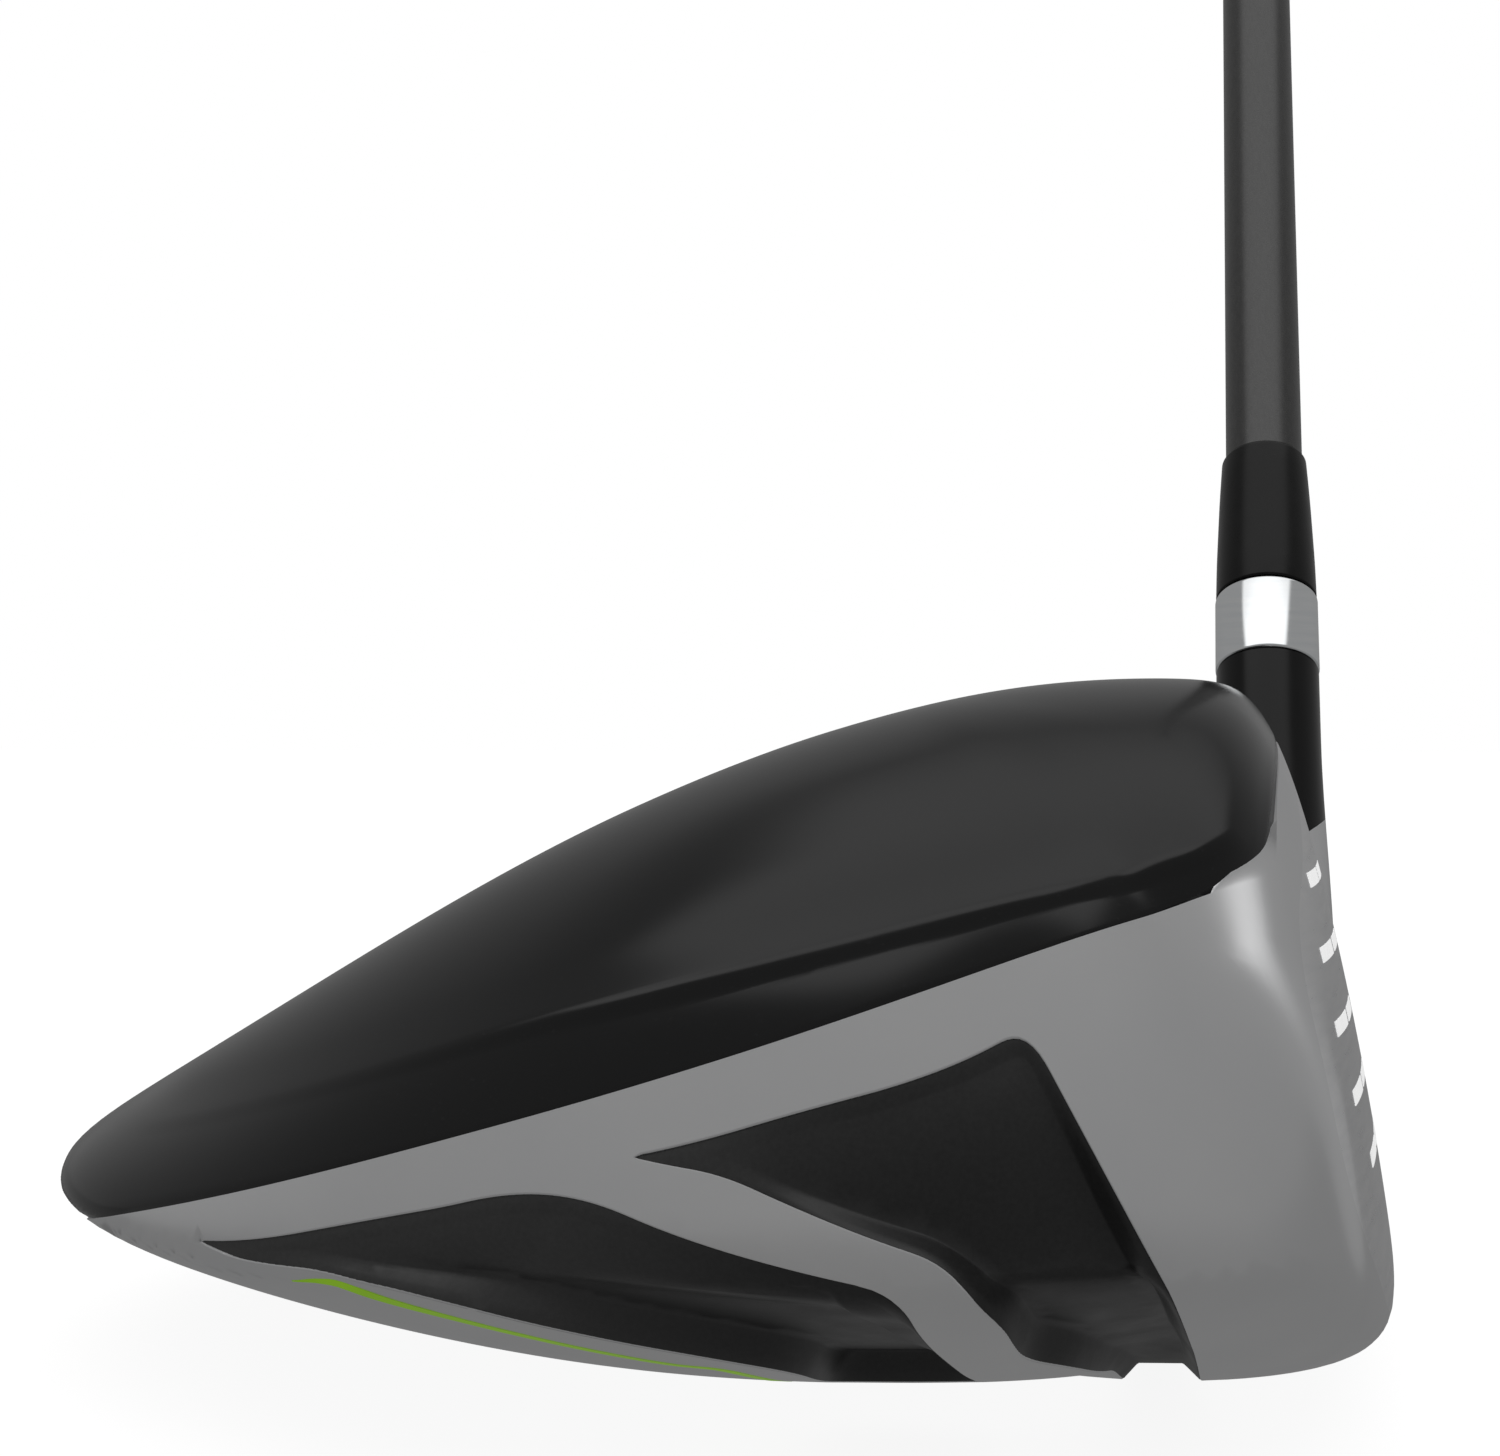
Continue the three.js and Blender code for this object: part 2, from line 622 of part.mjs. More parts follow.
const gripBore = (station) => shaftRadius(station) + 2 * GAP + TAPE_THICKNESS;
const gripProfile = [
  [8.3, GRIP_MOUTH], [8.9, GRIP_MOUTH + 1.5], [8.9, GRIP_MOUTH + 9], [8.6, GRIP_MOUTH + 10.5],
  [9.9, 960], [11.4, 1060], [12.8, 1120], [13.9, CAP_BOTTOM - GAP],
  [gripBore(CAP_BOTTOM - GAP), CAP_BOTTOM - GAP], [gripBore(GRIP_MOUTH), GRIP_MOUTH],
];

const capProfile = [
  [0, CAP_BOTTOM], [14, CAP_BOTTOM], [14.2, CAP_BOTTOM + 1.5],
  [13.9, CLUB_LENGTH - 1.2], [12.9, CLUB_LENGTH], [0, CLUB_LENGTH],
];

const plugProfile = (radius, bottom, top) => [[0, bottom], [radius, bottom], [radius, top], [0, top]];

const shaftPieces = [
  ['hosel_bore_plug', plugProfile(SHAFT_RADIUS, BORE_FLOOR + GAP, SHAFT_TIP - GAP), FOAM],
  ['ferrule_trim_ring', [[SLEEVE_BORE, RING_BOTTOM], [HOSEL_RADIUS + 0.1, RING_BOTTOM],
    [HOSEL_RADIUS + 0.1, RING_TOP], [SLEEVE_BORE, RING_TOP]], RING_SILVER],
  ['ferrule', [[SLEEVE_BORE, RING_TOP + GAP], [HOSEL_RADIUS, RING_TOP + GAP], [6.15, 92], [5.75, 102],
    [5.6, FERRULE_TOP - 1], [5.4, FERRULE_TOP], [SLEEVE_BORE, FERRULE_TOP]], FERRULE_BLACK],
  ['shaft_tip_plug', plugProfile(TIP_BORE - GAP, SHAFT_TIP + 1, SHAFT_TIP + 14), RING_SILVER],
  ['shaft', shaftProfile, GRAPHITE],
  ['grip_tape', tapeProfile, TAPE],
  ['grip', gripProfile, RUBBER],
  ['grip_cap', capProfile, RUBBER],
];
for (const [name, profile, material] of shaftPieces) {
  const geometry = closedSurface(turned(profile));
  geometry.computeVertexNormals();
  addPiece(shaftLine, name, geometry, material);
}

export default driver;
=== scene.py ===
"""The looks of a golf driver: a gloss black crown and neck, a satin grey body with black
recess panels, a polished ring, a ferrule, a graphite shaft and a moulded rubber grip.

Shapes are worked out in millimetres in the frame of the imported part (+X target, -Y toe,
+Y heel and grip, +Z up) and written to Blender in metres."""

import math

import bmesh
import bpy
import numpy as np
from mathutils import Matrix, Vector
from mathutils.bvhtree import BVHTree
from mathutils.geometry import delaunay_2d_cdt


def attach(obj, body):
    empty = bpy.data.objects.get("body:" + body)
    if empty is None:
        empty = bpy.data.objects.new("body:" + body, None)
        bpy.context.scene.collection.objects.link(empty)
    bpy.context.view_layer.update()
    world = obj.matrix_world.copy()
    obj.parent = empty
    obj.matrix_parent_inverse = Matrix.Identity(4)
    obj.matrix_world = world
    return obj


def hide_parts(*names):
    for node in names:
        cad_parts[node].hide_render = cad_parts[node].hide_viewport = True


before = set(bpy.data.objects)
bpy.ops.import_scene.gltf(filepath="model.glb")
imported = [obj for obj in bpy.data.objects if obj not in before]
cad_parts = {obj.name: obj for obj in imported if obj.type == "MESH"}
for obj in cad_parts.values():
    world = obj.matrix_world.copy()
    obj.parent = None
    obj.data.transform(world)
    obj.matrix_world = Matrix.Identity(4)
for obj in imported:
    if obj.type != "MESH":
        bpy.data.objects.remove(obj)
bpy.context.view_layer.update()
MM = 0.001

# ---- head surface ----
POLE = (12.8, -2.0)  # where all the vertical sections of the head cross
HEAD_REACH, TOE_REACH, HEEL_REACH = 80.0, 61.6, 52.0
OUTLINE_POWER = 2.25
FACE_X, FACE_BULGE, FACE_ROLL, FACE_MID_Z = 55.5, 300.0, 300.0, 30.3
LOFT = math.radians(10.7)
TOE_CORNER_POWER, HEEL_CORNER_POWER = 7.0, 10.0
CROWN_SECTION = ((28, 4.9, 2.1), (6.7, 2.3, 2.25))  # exponents at the face, the side and the rear
SOLE_SECTION = ((14.5, 2.6, 2.2), (5, 2.1, 1.6))
SIDE_LIFT = 4.3  # how far the widest line rises at the toe and the heel
# Heights over x, as polynomials with the highest power first, and how they change with y * y.
WIDEST_LINE = (0.00086, 0.018, 14.7)
CROWN_TOP, CROWN_FALL = (-0.0000107, -0.00257, 0.295, 56.3), 0.00444
SOLE_FLOOR, SOLE_RISE = (0.00177, 0.0, -0.3), 0.0024
SEAM_PATH, SEAM_RISE = (0.00243, 0.326, 22.5), 0.0028

# Hosel line: stations are distances along the shaft axis from z = 0.
LIE = math.radians(60)
HOSEL_FOOT = np.array([49.4, 31.0, 0.0])
AXIS = np.array([0.0, math.cos(LIE), math.sin(LIE)])
ACROSS = np.array([0.0, -math.sin(LIE), math.cos(LIE)])
TARGET = np.array([1.0, 0.0, 0.0])
HOSEL_RADIUS, BORE_RADIUS, SLEEVE_RADIUS = 6.25, 5.2, 5.2
BORE_FLOOR, RING_BOTTOM, RING_TOP, FERRULE_TOP = 24.0, 75.8, 86.2, 108.0
SHAFT_RADIUS, SHAFT_BUTT_RADIUS, TAPER_START = 4.9, 7.6, 300.0
GRIP_MOUTH, CLUB_LENGTH = 868.0, 1143.0


def smooth_step(value, low, high):
    t = np.clip((value - low) / (high - low), 0, 1)
    return t * t * (3 - 2 * t)


def bisected(holds, low, high, rounds):
    """The place between two bounds where a test stops holding."""
    for _ in range(rounds):
        middle = (low + high) / 2
        held = holds(middle)
        low = np.where(held, middle, low)
        high = np.where(held, high, middle)
    return (low + high) / 2


def ladder(first, second, around):
    """Quads between two rows of points that both close on themselves."""
    return [(first + j, first + (j + 1) % around, second + (j + 1) % around, second + j)
            for j in range(around)]


def seam_height(x, y):
    """Height of the paint line between crown and body over a plan position."""
    fade = np.where(y < 0, 1.0, 1 - smooth_step(x, 10, 45))
    return np.polyval(SEAM_PATH, x) + SEAM_RISE * y * y * fade


def outline_radius(theta):
    """Distance from the pole to the outline, where the bulged face cuts a superellipse."""
    cos, sin = np.cos(theta), np.sin(theta)
    centre_x, centre_y = FACE_X - POLE[0] - FACE_BULGE, -POLE[1]
    along = centre_x * cos + centre_y * sin
    face = along + np.sqrt(FACE_BULGE ** 2 - centre_x ** 2 - centre_y ** 2 + along ** 2)
    side = np.where(sin < 0, TOE_REACH, HEEL_REACH)
    oval = (np.abs(cos / HEAD_REACH) ** OUTLINE_POWER + np.abs(sin / side) ** OUTLINE_POWER)
    oval = oval ** (-1 / OUTLINE_POWER)
    power = TOE_CORNER_POWER + (HEEL_CORNER_POWER - TOE_CORNER_POWER) * smooth_step(sin, -0.2, 0.2)
    return (face ** -power + oval ** -power) ** (-1 / power)


def section_exponents(theta, section):
    turn = np.abs(np.arctan2(np.sin(theta), np.cos(theta)))
    front = 1 - smooth_step(turn, math.radians(25), math.radians(60))
    rear = smooth_step(turn, math.radians(100), math.pi)
    weights = (front, 1 - front - rear, rear)
    return [sum(w * value for w, value in zip(weights, values)) for values in section] + [front]


def half_section(theta, climb, upper):
    """Points at a share of the way from the widest line (0) to a pole (1)."""
    n, m, front = section_exponents(theta, CROWN_SECTION if upper else SOLE_SECTION)
    corner = bisected(lambda c: c ** n + c ** m <= 1, np.zeros_like(n), np.ones_like(n), 30)
    near = climb <= 0.5
    rise = np.clip(2 * climb * corner, 0, 1)
    reach = np.clip(2 * (1 - climb) * corner, 0, 1)
    reach = np.where(near, (1 - rise ** m) ** (1 / n), reach)
    rise = np.where(near, rise, (1 - reach ** n) ** (1 / m))
    radius = outline_radius(theta)
    cos, sin = np.cos(theta), np.sin(theta)
    widest = np.polyval(WIDEST_LINE, POLE[0] + radius * cos) + SIDE_LIFT * sin ** 2 * (1 - front)
    x = POLE[0] + reach * radius * cos
    y = POLE[1] + reach * radius * sin
    if upper:
        end = np.polyval(CROWN_TOP, x) - CROWN_FALL * y * y
    else:
        end = np.polyval(SOLE_FLOOR, x) + SOLE_RISE * y * y
    z = widest + (end - widest) * rise
    if not upper:
        z = np.maximum(z, 0)
    over = z - FACE_MID_Z
    lean_back = over * math.tan(LOFT) + over * over / (2 * FACE_ROLL)
    return np.stack([x - smooth_step(x, -11, 49) * lean_back, y, z], -1)


def head_point(theta, t):
    """A point of the head at latitude t: -1 sole pole, 0 widest line, 1 crown pole."""
    upper = half_section(theta, np.clip(t, 0, 1), True)
    lower = half_section(theta, np.clip(-t, 0, 1), False)
    return np.where((t > 0)[..., None], upper, lower)


# The chart unrolls the head onto a disc round the sole pole: directions are those of the
# plan, and the radius is the arc length up the section.
CHART_TURNS, CHART_STEPS = 720, 400


def chart_tables():
    theta = np.linspace(-math.pi, math.pi, CHART_TURNS + 1)
    t = np.linspace(-1, 1, 2 * CHART_STEPS + 1)
    grid = head_point(*np.meshgrid(theta, t, indexing="ij"))
    arc = np.linalg.norm(np.diff(grid, axis=1), axis=2).cumsum(1)
    arc = np.concatenate([np.zeros((len(theta), 1)), arc], 1)
    share = np.linspace(0, 1, CHART_STEPS + 1)
    latitude = np.array([np.interp(share * row[-1], row, t) for row in arc])
    return arc[:, -1], latitude


TOTAL_ARC, LATITUDE = chart_tables()


def total_arc(theta):
    turns = np.linspace(-math.pi, math.pi, CHART_TURNS + 1)
    return np.interp(np.arctan2(np.sin(theta), np.cos(theta)), turns, TOTAL_ARC)


def from_polar(theta, arc):
    theta = np.arctan2(np.sin(theta), np.cos(theta))
    column = (theta + math.pi) / (2 * math.pi) * CHART_TURNS
    i = np.clip(column.astype(int), 0, CHART_TURNS - 1)
    row = np.clip(arc / total_arc(theta), 0, 1) * CHART_STEPS
    j = np.clip(row.astype(int), 0, CHART_STEPS - 1)
    a, b = column - i, row - j
    t = ((LATITUDE[i, j] * (1 - a) + LATITUDE[i + 1, j] * a) * (1 - b)
         + (LATITUDE[i, j + 1] * (1 - a) + LATITUDE[i + 1, j + 1] * a) * b)
    return head_point(theta, t)


def from_chart(uv):
    return from_polar(np.arctan2(uv[:, 1], uv[:, 0]), np.hypot(uv[:, 0], uv[:, 1]))


def unit(vectors):
    return vectors / np.maximum(np.linalg.norm(vectors, axis=-1, keepdims=True), 1e-12)


def surface_normals(uv, surface, h=0.04):
    """Outward normals of a surface function over the chart."""
    du = surface(uv + [h, 0]) - surface(uv - [h, 0])
    dv = surface(uv + [0, h]) - surface(uv - [0, h])
    return unit(np.cross(dv, du))


CROWN_FRONT = 48.2  # where the crown ends over the face
TOE_BULGE = 0.6  # how much of the face's bulge the crown's edge follows towards the toe
CORNER_ROUND = 1.3


def crown_side(points):
    """Positive on the crown side of the seam, with a rounded corner at the toe."""
    x, y, z = np.moveaxis(points, -1, 0)
    above = z - seam_height(x, y)
    bulge = np.where(y < 0, TOE_BULGE, 1.0)
    behind = CROWN_FRONT - bulge * y * y / (2 * FACE_BULGE) - x
    mix = np.maximum(CORNER_ROUND - np.abs(above - behind), 0)
    return np.minimum(above, behind) - mix * mix / (4 * CORNER_ROUND)


SEAM_DROP = 0.4


def seam_arcs(theta):
    """Arc length from the sole pole to the seam."""
    steps = np.arange(45, 130, 0.5)
    grid_theta, grid_arc = np.meshgrid(theta, steps, indexing="ij")
    values = crown_side(from_polar(grid_theta, grid_arc))
    first = np.argmax(values > 0, axis=1)
    rows = np.arange(len(theta))
    low, high = values[rows, first - 1], values[rows, first]
    return steps[first - 1] + 0.5 * -low / (high - low) - SEAM_DROP


def seam_turns():
    """Directions round the head, closer together where the seam turns up at the toe."""
    even = np.linspace(-math.pi, math.pi, 441)[:-1]
    corner = np.radians(np.arange(-57, -36, 0.22))
    kept = even[(even < corner[0] - 0.006) | (even > corner[-1] + 0.006)]
    return np.sort(np.concatenate([kept, corner]))


SEAM_TURNS = seam_turns()
SEAM_ARCS = seam_arcs(SEAM_TURNS)
SEAM_LINE = from_polar(SEAM_TURNS, SEAM_ARCS)


def seam_distance(points):
    """Distance to the seam, the way from it, and the direction of its nearest point."""
    start = SEAM_LINE
    along = np.roll(SEAM_LINE, -1, 0) - start
    rel = points[:, None] - start
    t = np.clip((rel * along).sum(-1) / (along * along).sum(-1), 0, 1)
    gap = rel - t[..., None] * along
    away = np.linalg.norm(gap, axis=-1)
    nearest = away.argmin(1)
    rows = np.arange(len(points))
    return away[rows, nearest], gap[rows, nearest], SEAM_TURNS[nearest]


def below_seam(uv):
    """Directions of chart positions and their arc lengths below the seam."""
    theta = np.arctan2(uv[:, 1], uv[:, 0])
    return theta, np.interp(theta, SEAM_TURNS, SEAM_ARCS) - np.hypot(uv[:, 0], uv[:, 1])


# ---- hosel blend ----
TUBE_START, TUBE_END = 20.0, RING_BOTTOM - 0.25
BLEND, FACE_BLEND = 13.0, 3.5  # width of the fillet between neck and head, and on the face
FILLET_SEARCH, FILLET_TOP = 16.0, 7.0
SINK = 1.6  # how far a hidden part of a blended surface lies under the shown one


def axis_frame(points):
    """Station along the shaft axis and distance from it."""
    rel = points - HOSEL_FOOT
    station = rel @ AXIS
    clamped = np.clip(station, TUBE_START, 200)
    away = np.linalg.norm(rel - clamped[..., None] * AXIS, axis=-1)
    return station, away


def tube_radius(station):
    return HOSEL_RADIUS + 0.8 * (1 - smooth_step(station, 36, 66))


def tube_distance(points):
    station, away = axis_frame(points)
    return away - tube_radius(station)


def smooth_min(a, b, width):
    mix = np.maximum(width - np.abs(a - b), 0)
    return np.minimum(a, b) - mix * mix / (4 * width)


def blend_width(normals):
    """The fillet is narrower on the face, which stays flat up to its heel edge."""
    return BLEND - (BLEND - FACE_BLEND) * smooth_step(normals[..., 0], 0.45, 0.85)


def fillet_height(points, normals):
    """How far a head point rises along its normal to join the neck, and how far it then
    hides under the neck's own surface."""
    height = np.zeros(points.shape[:-1])
    sink = np.zeros(points.shape[:-1])
    near = tube_distance(points) < BLEND
    if not near.any():
        return height, sink
    p, n = points[near], normals[near]
    width = blend_width(n)
    steps = np.linspace(0.0, FILLET_SEARCH, 65)
    values = np.stack([smooth_min(t, tube_distance(p + t * n), width) for t in steps])
    out = values > 0
    first = np.where(out.any(0), np.argmax(out, 0), len(steps) - 1)
    met = bisected(lambda t: smooth_min(t, tube_distance(p + t[:, None] * n), width) < 0,
                   steps[np.maximum(first - 1, 0)], steps[first], 14)
    rise = np.minimum(np.where(first > 0, met, 0), FILLET_TOP)
    height[near] = rise
    closeness = rise - tube_distance(p + rise[:, None] * n)
    sink[near] = SINK * smooth_step(closeness, 0, 3)
    return height, sink


# ---- mesh helpers ----
def make_object(name, points, faces):
    """A smooth mesh object from points in millimetres."""
    mesh = bpy.data.meshes.new(name)
    mesh.from_pydata((np.asarray(points, float) * MM).tolist(), [], faces)
    mesh.validate()
    mesh.update()
    mesh.polygons.foreach_set("use_smooth", [True] * len(mesh.polygons))
    piece = bpy.data.objects.new(name, mesh)
    bpy.context.scene.collection.objects.link(piece)
    return piece


def set_normals(piece, normals):
    """Loop normals from a per-vertex table. A zero row keeps Blender's own normal."""
    mesh = piece.data
    vertex = np.zeros(len(mesh.loops), int)
    mesh.loops.foreach_get("vertex_index", vertex)
    mesh.normals_split_custom_set(np.asarray(normals)[vertex].tolist())


def face_outwards(piece, merge=False):
    """Turns the faces of a closed surface outwards, with its coinciding points merged first
    if asked."""
    bm = bmesh.new()
    bm.from_mesh(piece.data)
    if merge:
        bmesh.ops.remove_doubles(bm, verts=bm.verts, dist=1e-7)
    bmesh.ops.recalc_face_normals(bm, faces=bm.faces)
    bm.to_mesh(piece.data)
    bm.free()


def mark_sharp(piece, degrees):
    """Edges that turn by more than an angle are shaded sharp."""
    bm = bmesh.new()
    bm.from_mesh(piece.data)
    for edge in bm.edges:
        if len(edge.link_faces) == 2 and edge.calc_face_angle() > math.radians(degrees):
            edge.smooth = False
    bm.to_mesh(piece.data)
    bm.free()


def join_grids(name, grids, rings_close=True, sharp=35):
    """One closed surface from point grids joined end to end: each grid is rows of equal
    length, and every row closes on itself. The last row joins the first."""
    rows = np.concatenate(grids)
    count, around = rows.shape[:2]
    faces = []
    for i in range(count if rings_close else count - 1):
        faces += ladder(i * around, (i + 1) % count * around, around)
    piece = make_object(name, rows.reshape(-1, 3), faces)
    face_outwards(piece, merge=True)
    mark_sharp(piece, sharp)
    return piece


# ---- crown ----
CREASE_GAP = 4.2  # from the seam to the crease at the front, growing towards the rear
CREASE_GROWTH = 0.095  # millimetres per degree
BAND_DEPTH, EDGE_DEPTH = 0.42, 0.12
RISER = 2.0
CROWN_WALL = 1.6
POLE_CAP = 14.0


def crease_distance(theta):
    return CREASE_GAP + CREASE_GROWTH * np.clip(np.degrees(np.abs(theta)) - 52, 0, 60)


def crown_height(theta, distance):
    """Height of the crown skin over the head: a band along the seam, a riser to a soft
    crease, then the dome."""
    turn = np.degrees(np.abs(theta))
    front = np.where(theta < 0, smooth_step(turn, 38, 53), smooth_step(turn, 70, 95))
    strength = front * (1 - 0.8 * smooth_step(turn, 100, 135))
    crease = crease_distance(theta)
    band = 1 - smooth_step(distance, crease - RISER, crease + 0.35)
    edge = 1 - smooth_step(distance, 0, 1.0)
    return -strength * BAND_DEPTH * band - EDGE_DEPTH * edge


def grid_normals(grid):
    """Normals of a grid whose second index runs round and closes."""
    up = np.gradient(grid, axis=0)
    round_ = np.roll(grid, -1, 1) - np.roll(grid, 1, 1)
    normals = unit(np.cross(round_, up))
    outward = grid - grid.mean((0, 1)) + [0, 0, 20]
    if (normals * outward).sum() < 0:
        normals = -normals
    return normals


def polar_normals(theta, arc, h=0.05):
    """Outward head normals at directions and arc lengths."""
    turn = h / np.maximum(arc, 1)
    up = from_polar(theta, arc + h) - from_polar(theta, arc - h)
    round_ = from_polar(theta + turn, arc) - from_polar(theta - turn, arc)
    return unit(np.cross(round_, up))


def softened(normals, theta, width):
    """Normals averaged over neighbouring directions round the head."""
    gap = np.abs(theta[:, None] - theta[None])
    gap = np.minimum(gap, 2 * math.pi - gap)
    spacing = (np.roll(theta, -1) - np.roll(theta, 1)) % (2 * math.pi)
    weight = np.exp(-(gap / math.radians(width)) ** 2 / 2) * spacing
    weight /= weight.sum(1, keepdims=True)
    return unit(np.einsum("jk,ikc->ijc", weight, normals))


CROWN_BLUR = 6.0  # degrees
CROWN_TURN, SHOULDER_TURN = 0.07, 0.13  # how far the dome's shading turns to the toe
BAND_LEAN = 0.34  # how far the band's shading leans to the ground


def crown_shading(base, normals, theta, distance, gap, near_turn):
    """Shading normals: the dome is softened and leans out at the toe shoulder, and the
    band below the crease stands steep towards the face."""
    step = 0.05
    climb = crown_height(near_turn, distance + step) - crown_height(near_turn, distance - step)
    slope = (climb / (2 * step))[..., None]
    flat = gap - (gap * normals).sum(-1, keepdims=True) * normals
    rise = distance - crease_distance(theta)
    dome = smooth_step(rise, 0, 6)[..., None]
    calm = softened(normals, theta, CROWN_BLUR)
    shading = unit(normals * (1 - dome) + calm * dome - slope * unit(flat))
    toe = smooth_step(-base[..., 1], -12, 18)
    turn = np.degrees(np.abs(theta))
    shoulder = smooth_step(turn, 55, 66) * (1 - smooth_step(turn, 100, 125))
    shoulder = shoulder * smooth_step(rise, 0, 5) * (1 - smooth_step(rise, 14, 26))
    shading[..., 1] -= dome[..., 0] * toe * CROWN_TURN + toe * shoulder * SHOULDER_TURN
    lit = smooth_step(turn, 68, 84) * (1 - smooth_step(turn, 84, 103))
    steep = (1 - 0.32 * lit) * smooth_step(turn, 38, 53) * (1 - smooth_step(turn, 118, 140))
    steep = steep * (1 - smooth_step(rise, -1.5, 0.3))
    foot = (1 - smooth_step(distance, 0.8, 2.4)) * (1 - smooth_step(turn, 110, 130))
    shading[..., 2] -= BAND_LEAN * np.maximum(steep, foot)
    return unit(shading)


def crown_arcs():
    """Arc lengths of the crown's rows: close together on the band, then up to the pole."""
    total = total_arc(SEAM_TURNS)
    band_end = SEAM_ARCS + 1.2 * crease_distance(SEAM_TURNS)
    band = SEAM_ARCS + (band_end - SEAM_ARCS) * np.linspace(0, 1, 26)[:, None]
    dome = band_end + (total - band_end) * np.linspace(0, 1, 60)[1:, None] ** 1.1
    dome[-1] = total * 0.9999
    return np.concatenate([band, dome]), total


def build_crown():
    around = len(SEAM_TURNS)
    arc, total = crown_arcs()
    spread = np.broadcast_to(SEAM_TURNS, arc.shape)
    base = from_polar(spread, arc)
    normals = polar_normals(spread, arc)
    if (normals[0] * (base[0] - base.mean((0, 1)))).sum() < 0:
        normals = -normals
    at_pole = (total - arc < POLE_CAP)[..., None]
    normals = np.where(at_pole, grid_normals(base), normals)
    distance, gap, near_turn = (np.array(part) for part in zip(*[seam_distance(row) for row in base]))
    lift = crown_height(near_turn, distance)
    rise, sink = fillet_height(base, normals)
    lift = np.where(rise > 0.3, lift * np.exp(-rise), lift) + rise
    skin = base + normals * lift[..., None]
    shading = crown_shading(base, normals, SEAM_TURNS, distance, gap, near_turn)
    blended = smooth_step(rise, 0.0, 1.5)[..., None]
    shading = unit(grid_normals(skin) * blended + shading * (1 - blended))
    skin = skin - normals * sink[..., None]
    inner = (base - normals * CROWN_WALL)[::6][::-1]
    poles = skin[-1].mean(0), inner[0].mean(0)
    points = np.concatenate([skin.reshape(-1, 3), poles[:1], inner.reshape(-1, 3), poles[1:]])
    outer_rows = [i * around for i in range(len(skin))]
    pole = len(skin) * around
    inner_rows = [pole + 1 + i * around for i in range(len(inner))]
    faces = []
    for rows in (outer_rows, inner_rows, (inner_rows[-1], 0)):
        for first, second in zip(rows, rows[1:]):
            faces += ladder(first, second, around)
    for j in range(around):
        k = (j + 1) % around
        faces.append((outer_rows[-1] + j, outer_rows[-1] + k, pole))
        faces.append((inner_rows[0] + k, inner_rows[0] + j, len(points) - 1))
    piece = make_object("crown_shell", points, faces)
    table = np.zeros((len(points), 3))
    table[:pole] = shading.reshape(-1, 3)
    table[pole] = shading[-1].mean(0)
    mark_sharp(piece, 50)
    set_normals(piece, table)
    return piece


# ---- chart outlines ----
HEEL_SCALE = HEEL_REACH / TOE_REACH


def rounded_outline(corners, spacing=0.7):
    """Points of a closed outline: each corner is (u, v, radius)."""
    points = []
    count = len(corners)
    for i, (u, v, radius) in enumerate(corners):
        corner = np.array([u, v])
        before = np.array(corners[i - 1][:2])
        after = np.array(corners[(i + 1) % count][:2])
        enter = corner + radius * unit(before - corner)
        leave = corner + radius * unit(after - corner)
        steps = max(4, int(2 * radius / spacing))
        for t in np.linspace(0, 1, steps + 1):
            points.append((1 - t) ** 2 * enter + 2 * t * (1 - t) * corner + t * t * leave)
    return resampled(np.array(points), spacing)


def resampled(points, spacing, closed=True):
    loop = np.vstack([points, points[:1]]) if closed else points
    length = np.concatenate([[0], np.linalg.norm(np.diff(loop, axis=0), axis=1).cumsum()])
    count = max(8, int(length[-1] / spacing))
    at = np.linspace(0, length[-1], count + 1)
    at = at[:-1] if closed else at
    return np.stack([np.interp(at, length, loop[:, k]) for k in (0, 1)], -1)


def mirrored(points):
    return (points * [1, -HEEL_SCALE])[::-1]


def inside_outline(uv, outline):
    a = outline
    b = np.roll(outline, -1, 0)
    result = np.zeros(len(uv), bool)
    for (x0, y0), (x1, y1) in zip(a, b):
        crosses = (y0 > uv[:, 1]) != (y1 > uv[:, 1])
        if not crosses.any():
            continue
        at = x0 + (uv[crosses, 1] - y0) * (x1 - x0) / (y1 - y0)
        hit = np.zeros(len(uv), bool)
        hit[crosses] = uv[crosses, 0] < at
        result ^= hit
    return result


def line_distance(uv, line, closed):
    """Distance to a polyline, worked out only within its box and a margin."""
    margin = 6.0
    result = np.full(len(uv), margin)
    low, high = line.min(0) - margin, line.max(0) + margin
    near = ((uv > low) & (uv < high)).all(1)
    if not near.any():
        return result
    q = uv[near]
    best = np.full(len(q), margin)
    a = line if closed else line[:-1]
    b = np.roll(line, -1, 0) if closed else line[1:]
    for start, end in zip(a, b):
        along = end - start
        t = np.clip(((q - start) @ along) / (along @ along), 0, 1)
        away = np.hypot(*(q - start - t[:, None] * along).T)
        best = np.minimum(best, away)
    result[near] = best
    return result


def signed_distance(uv, outline):
    """Negative inside a closed outline."""
    away = line_distance(uv, outline, True)
    return np.where(inside_outline(uv, outline), -away, away)


def offset_ring(outline, amount):
    """The outline moved outwards, without the points that fold over."""
    along = np.roll(outline, -1, 0) - np.roll(outline, 1, 0)
    side = unit(np.stack([along[:, 1], -along[:, 0]], -1))
    area = (outline[:, 0] * np.roll(outline[:, 1], -1) - outline[:, 1] * np.roll(outline[:, 0], -1)).sum()
    moved = outline + side * amount * (1 if area > 0 else -1)
    keep = line_distance(moved, outline, True) > abs(amount) * 0.92
    return moved, keep


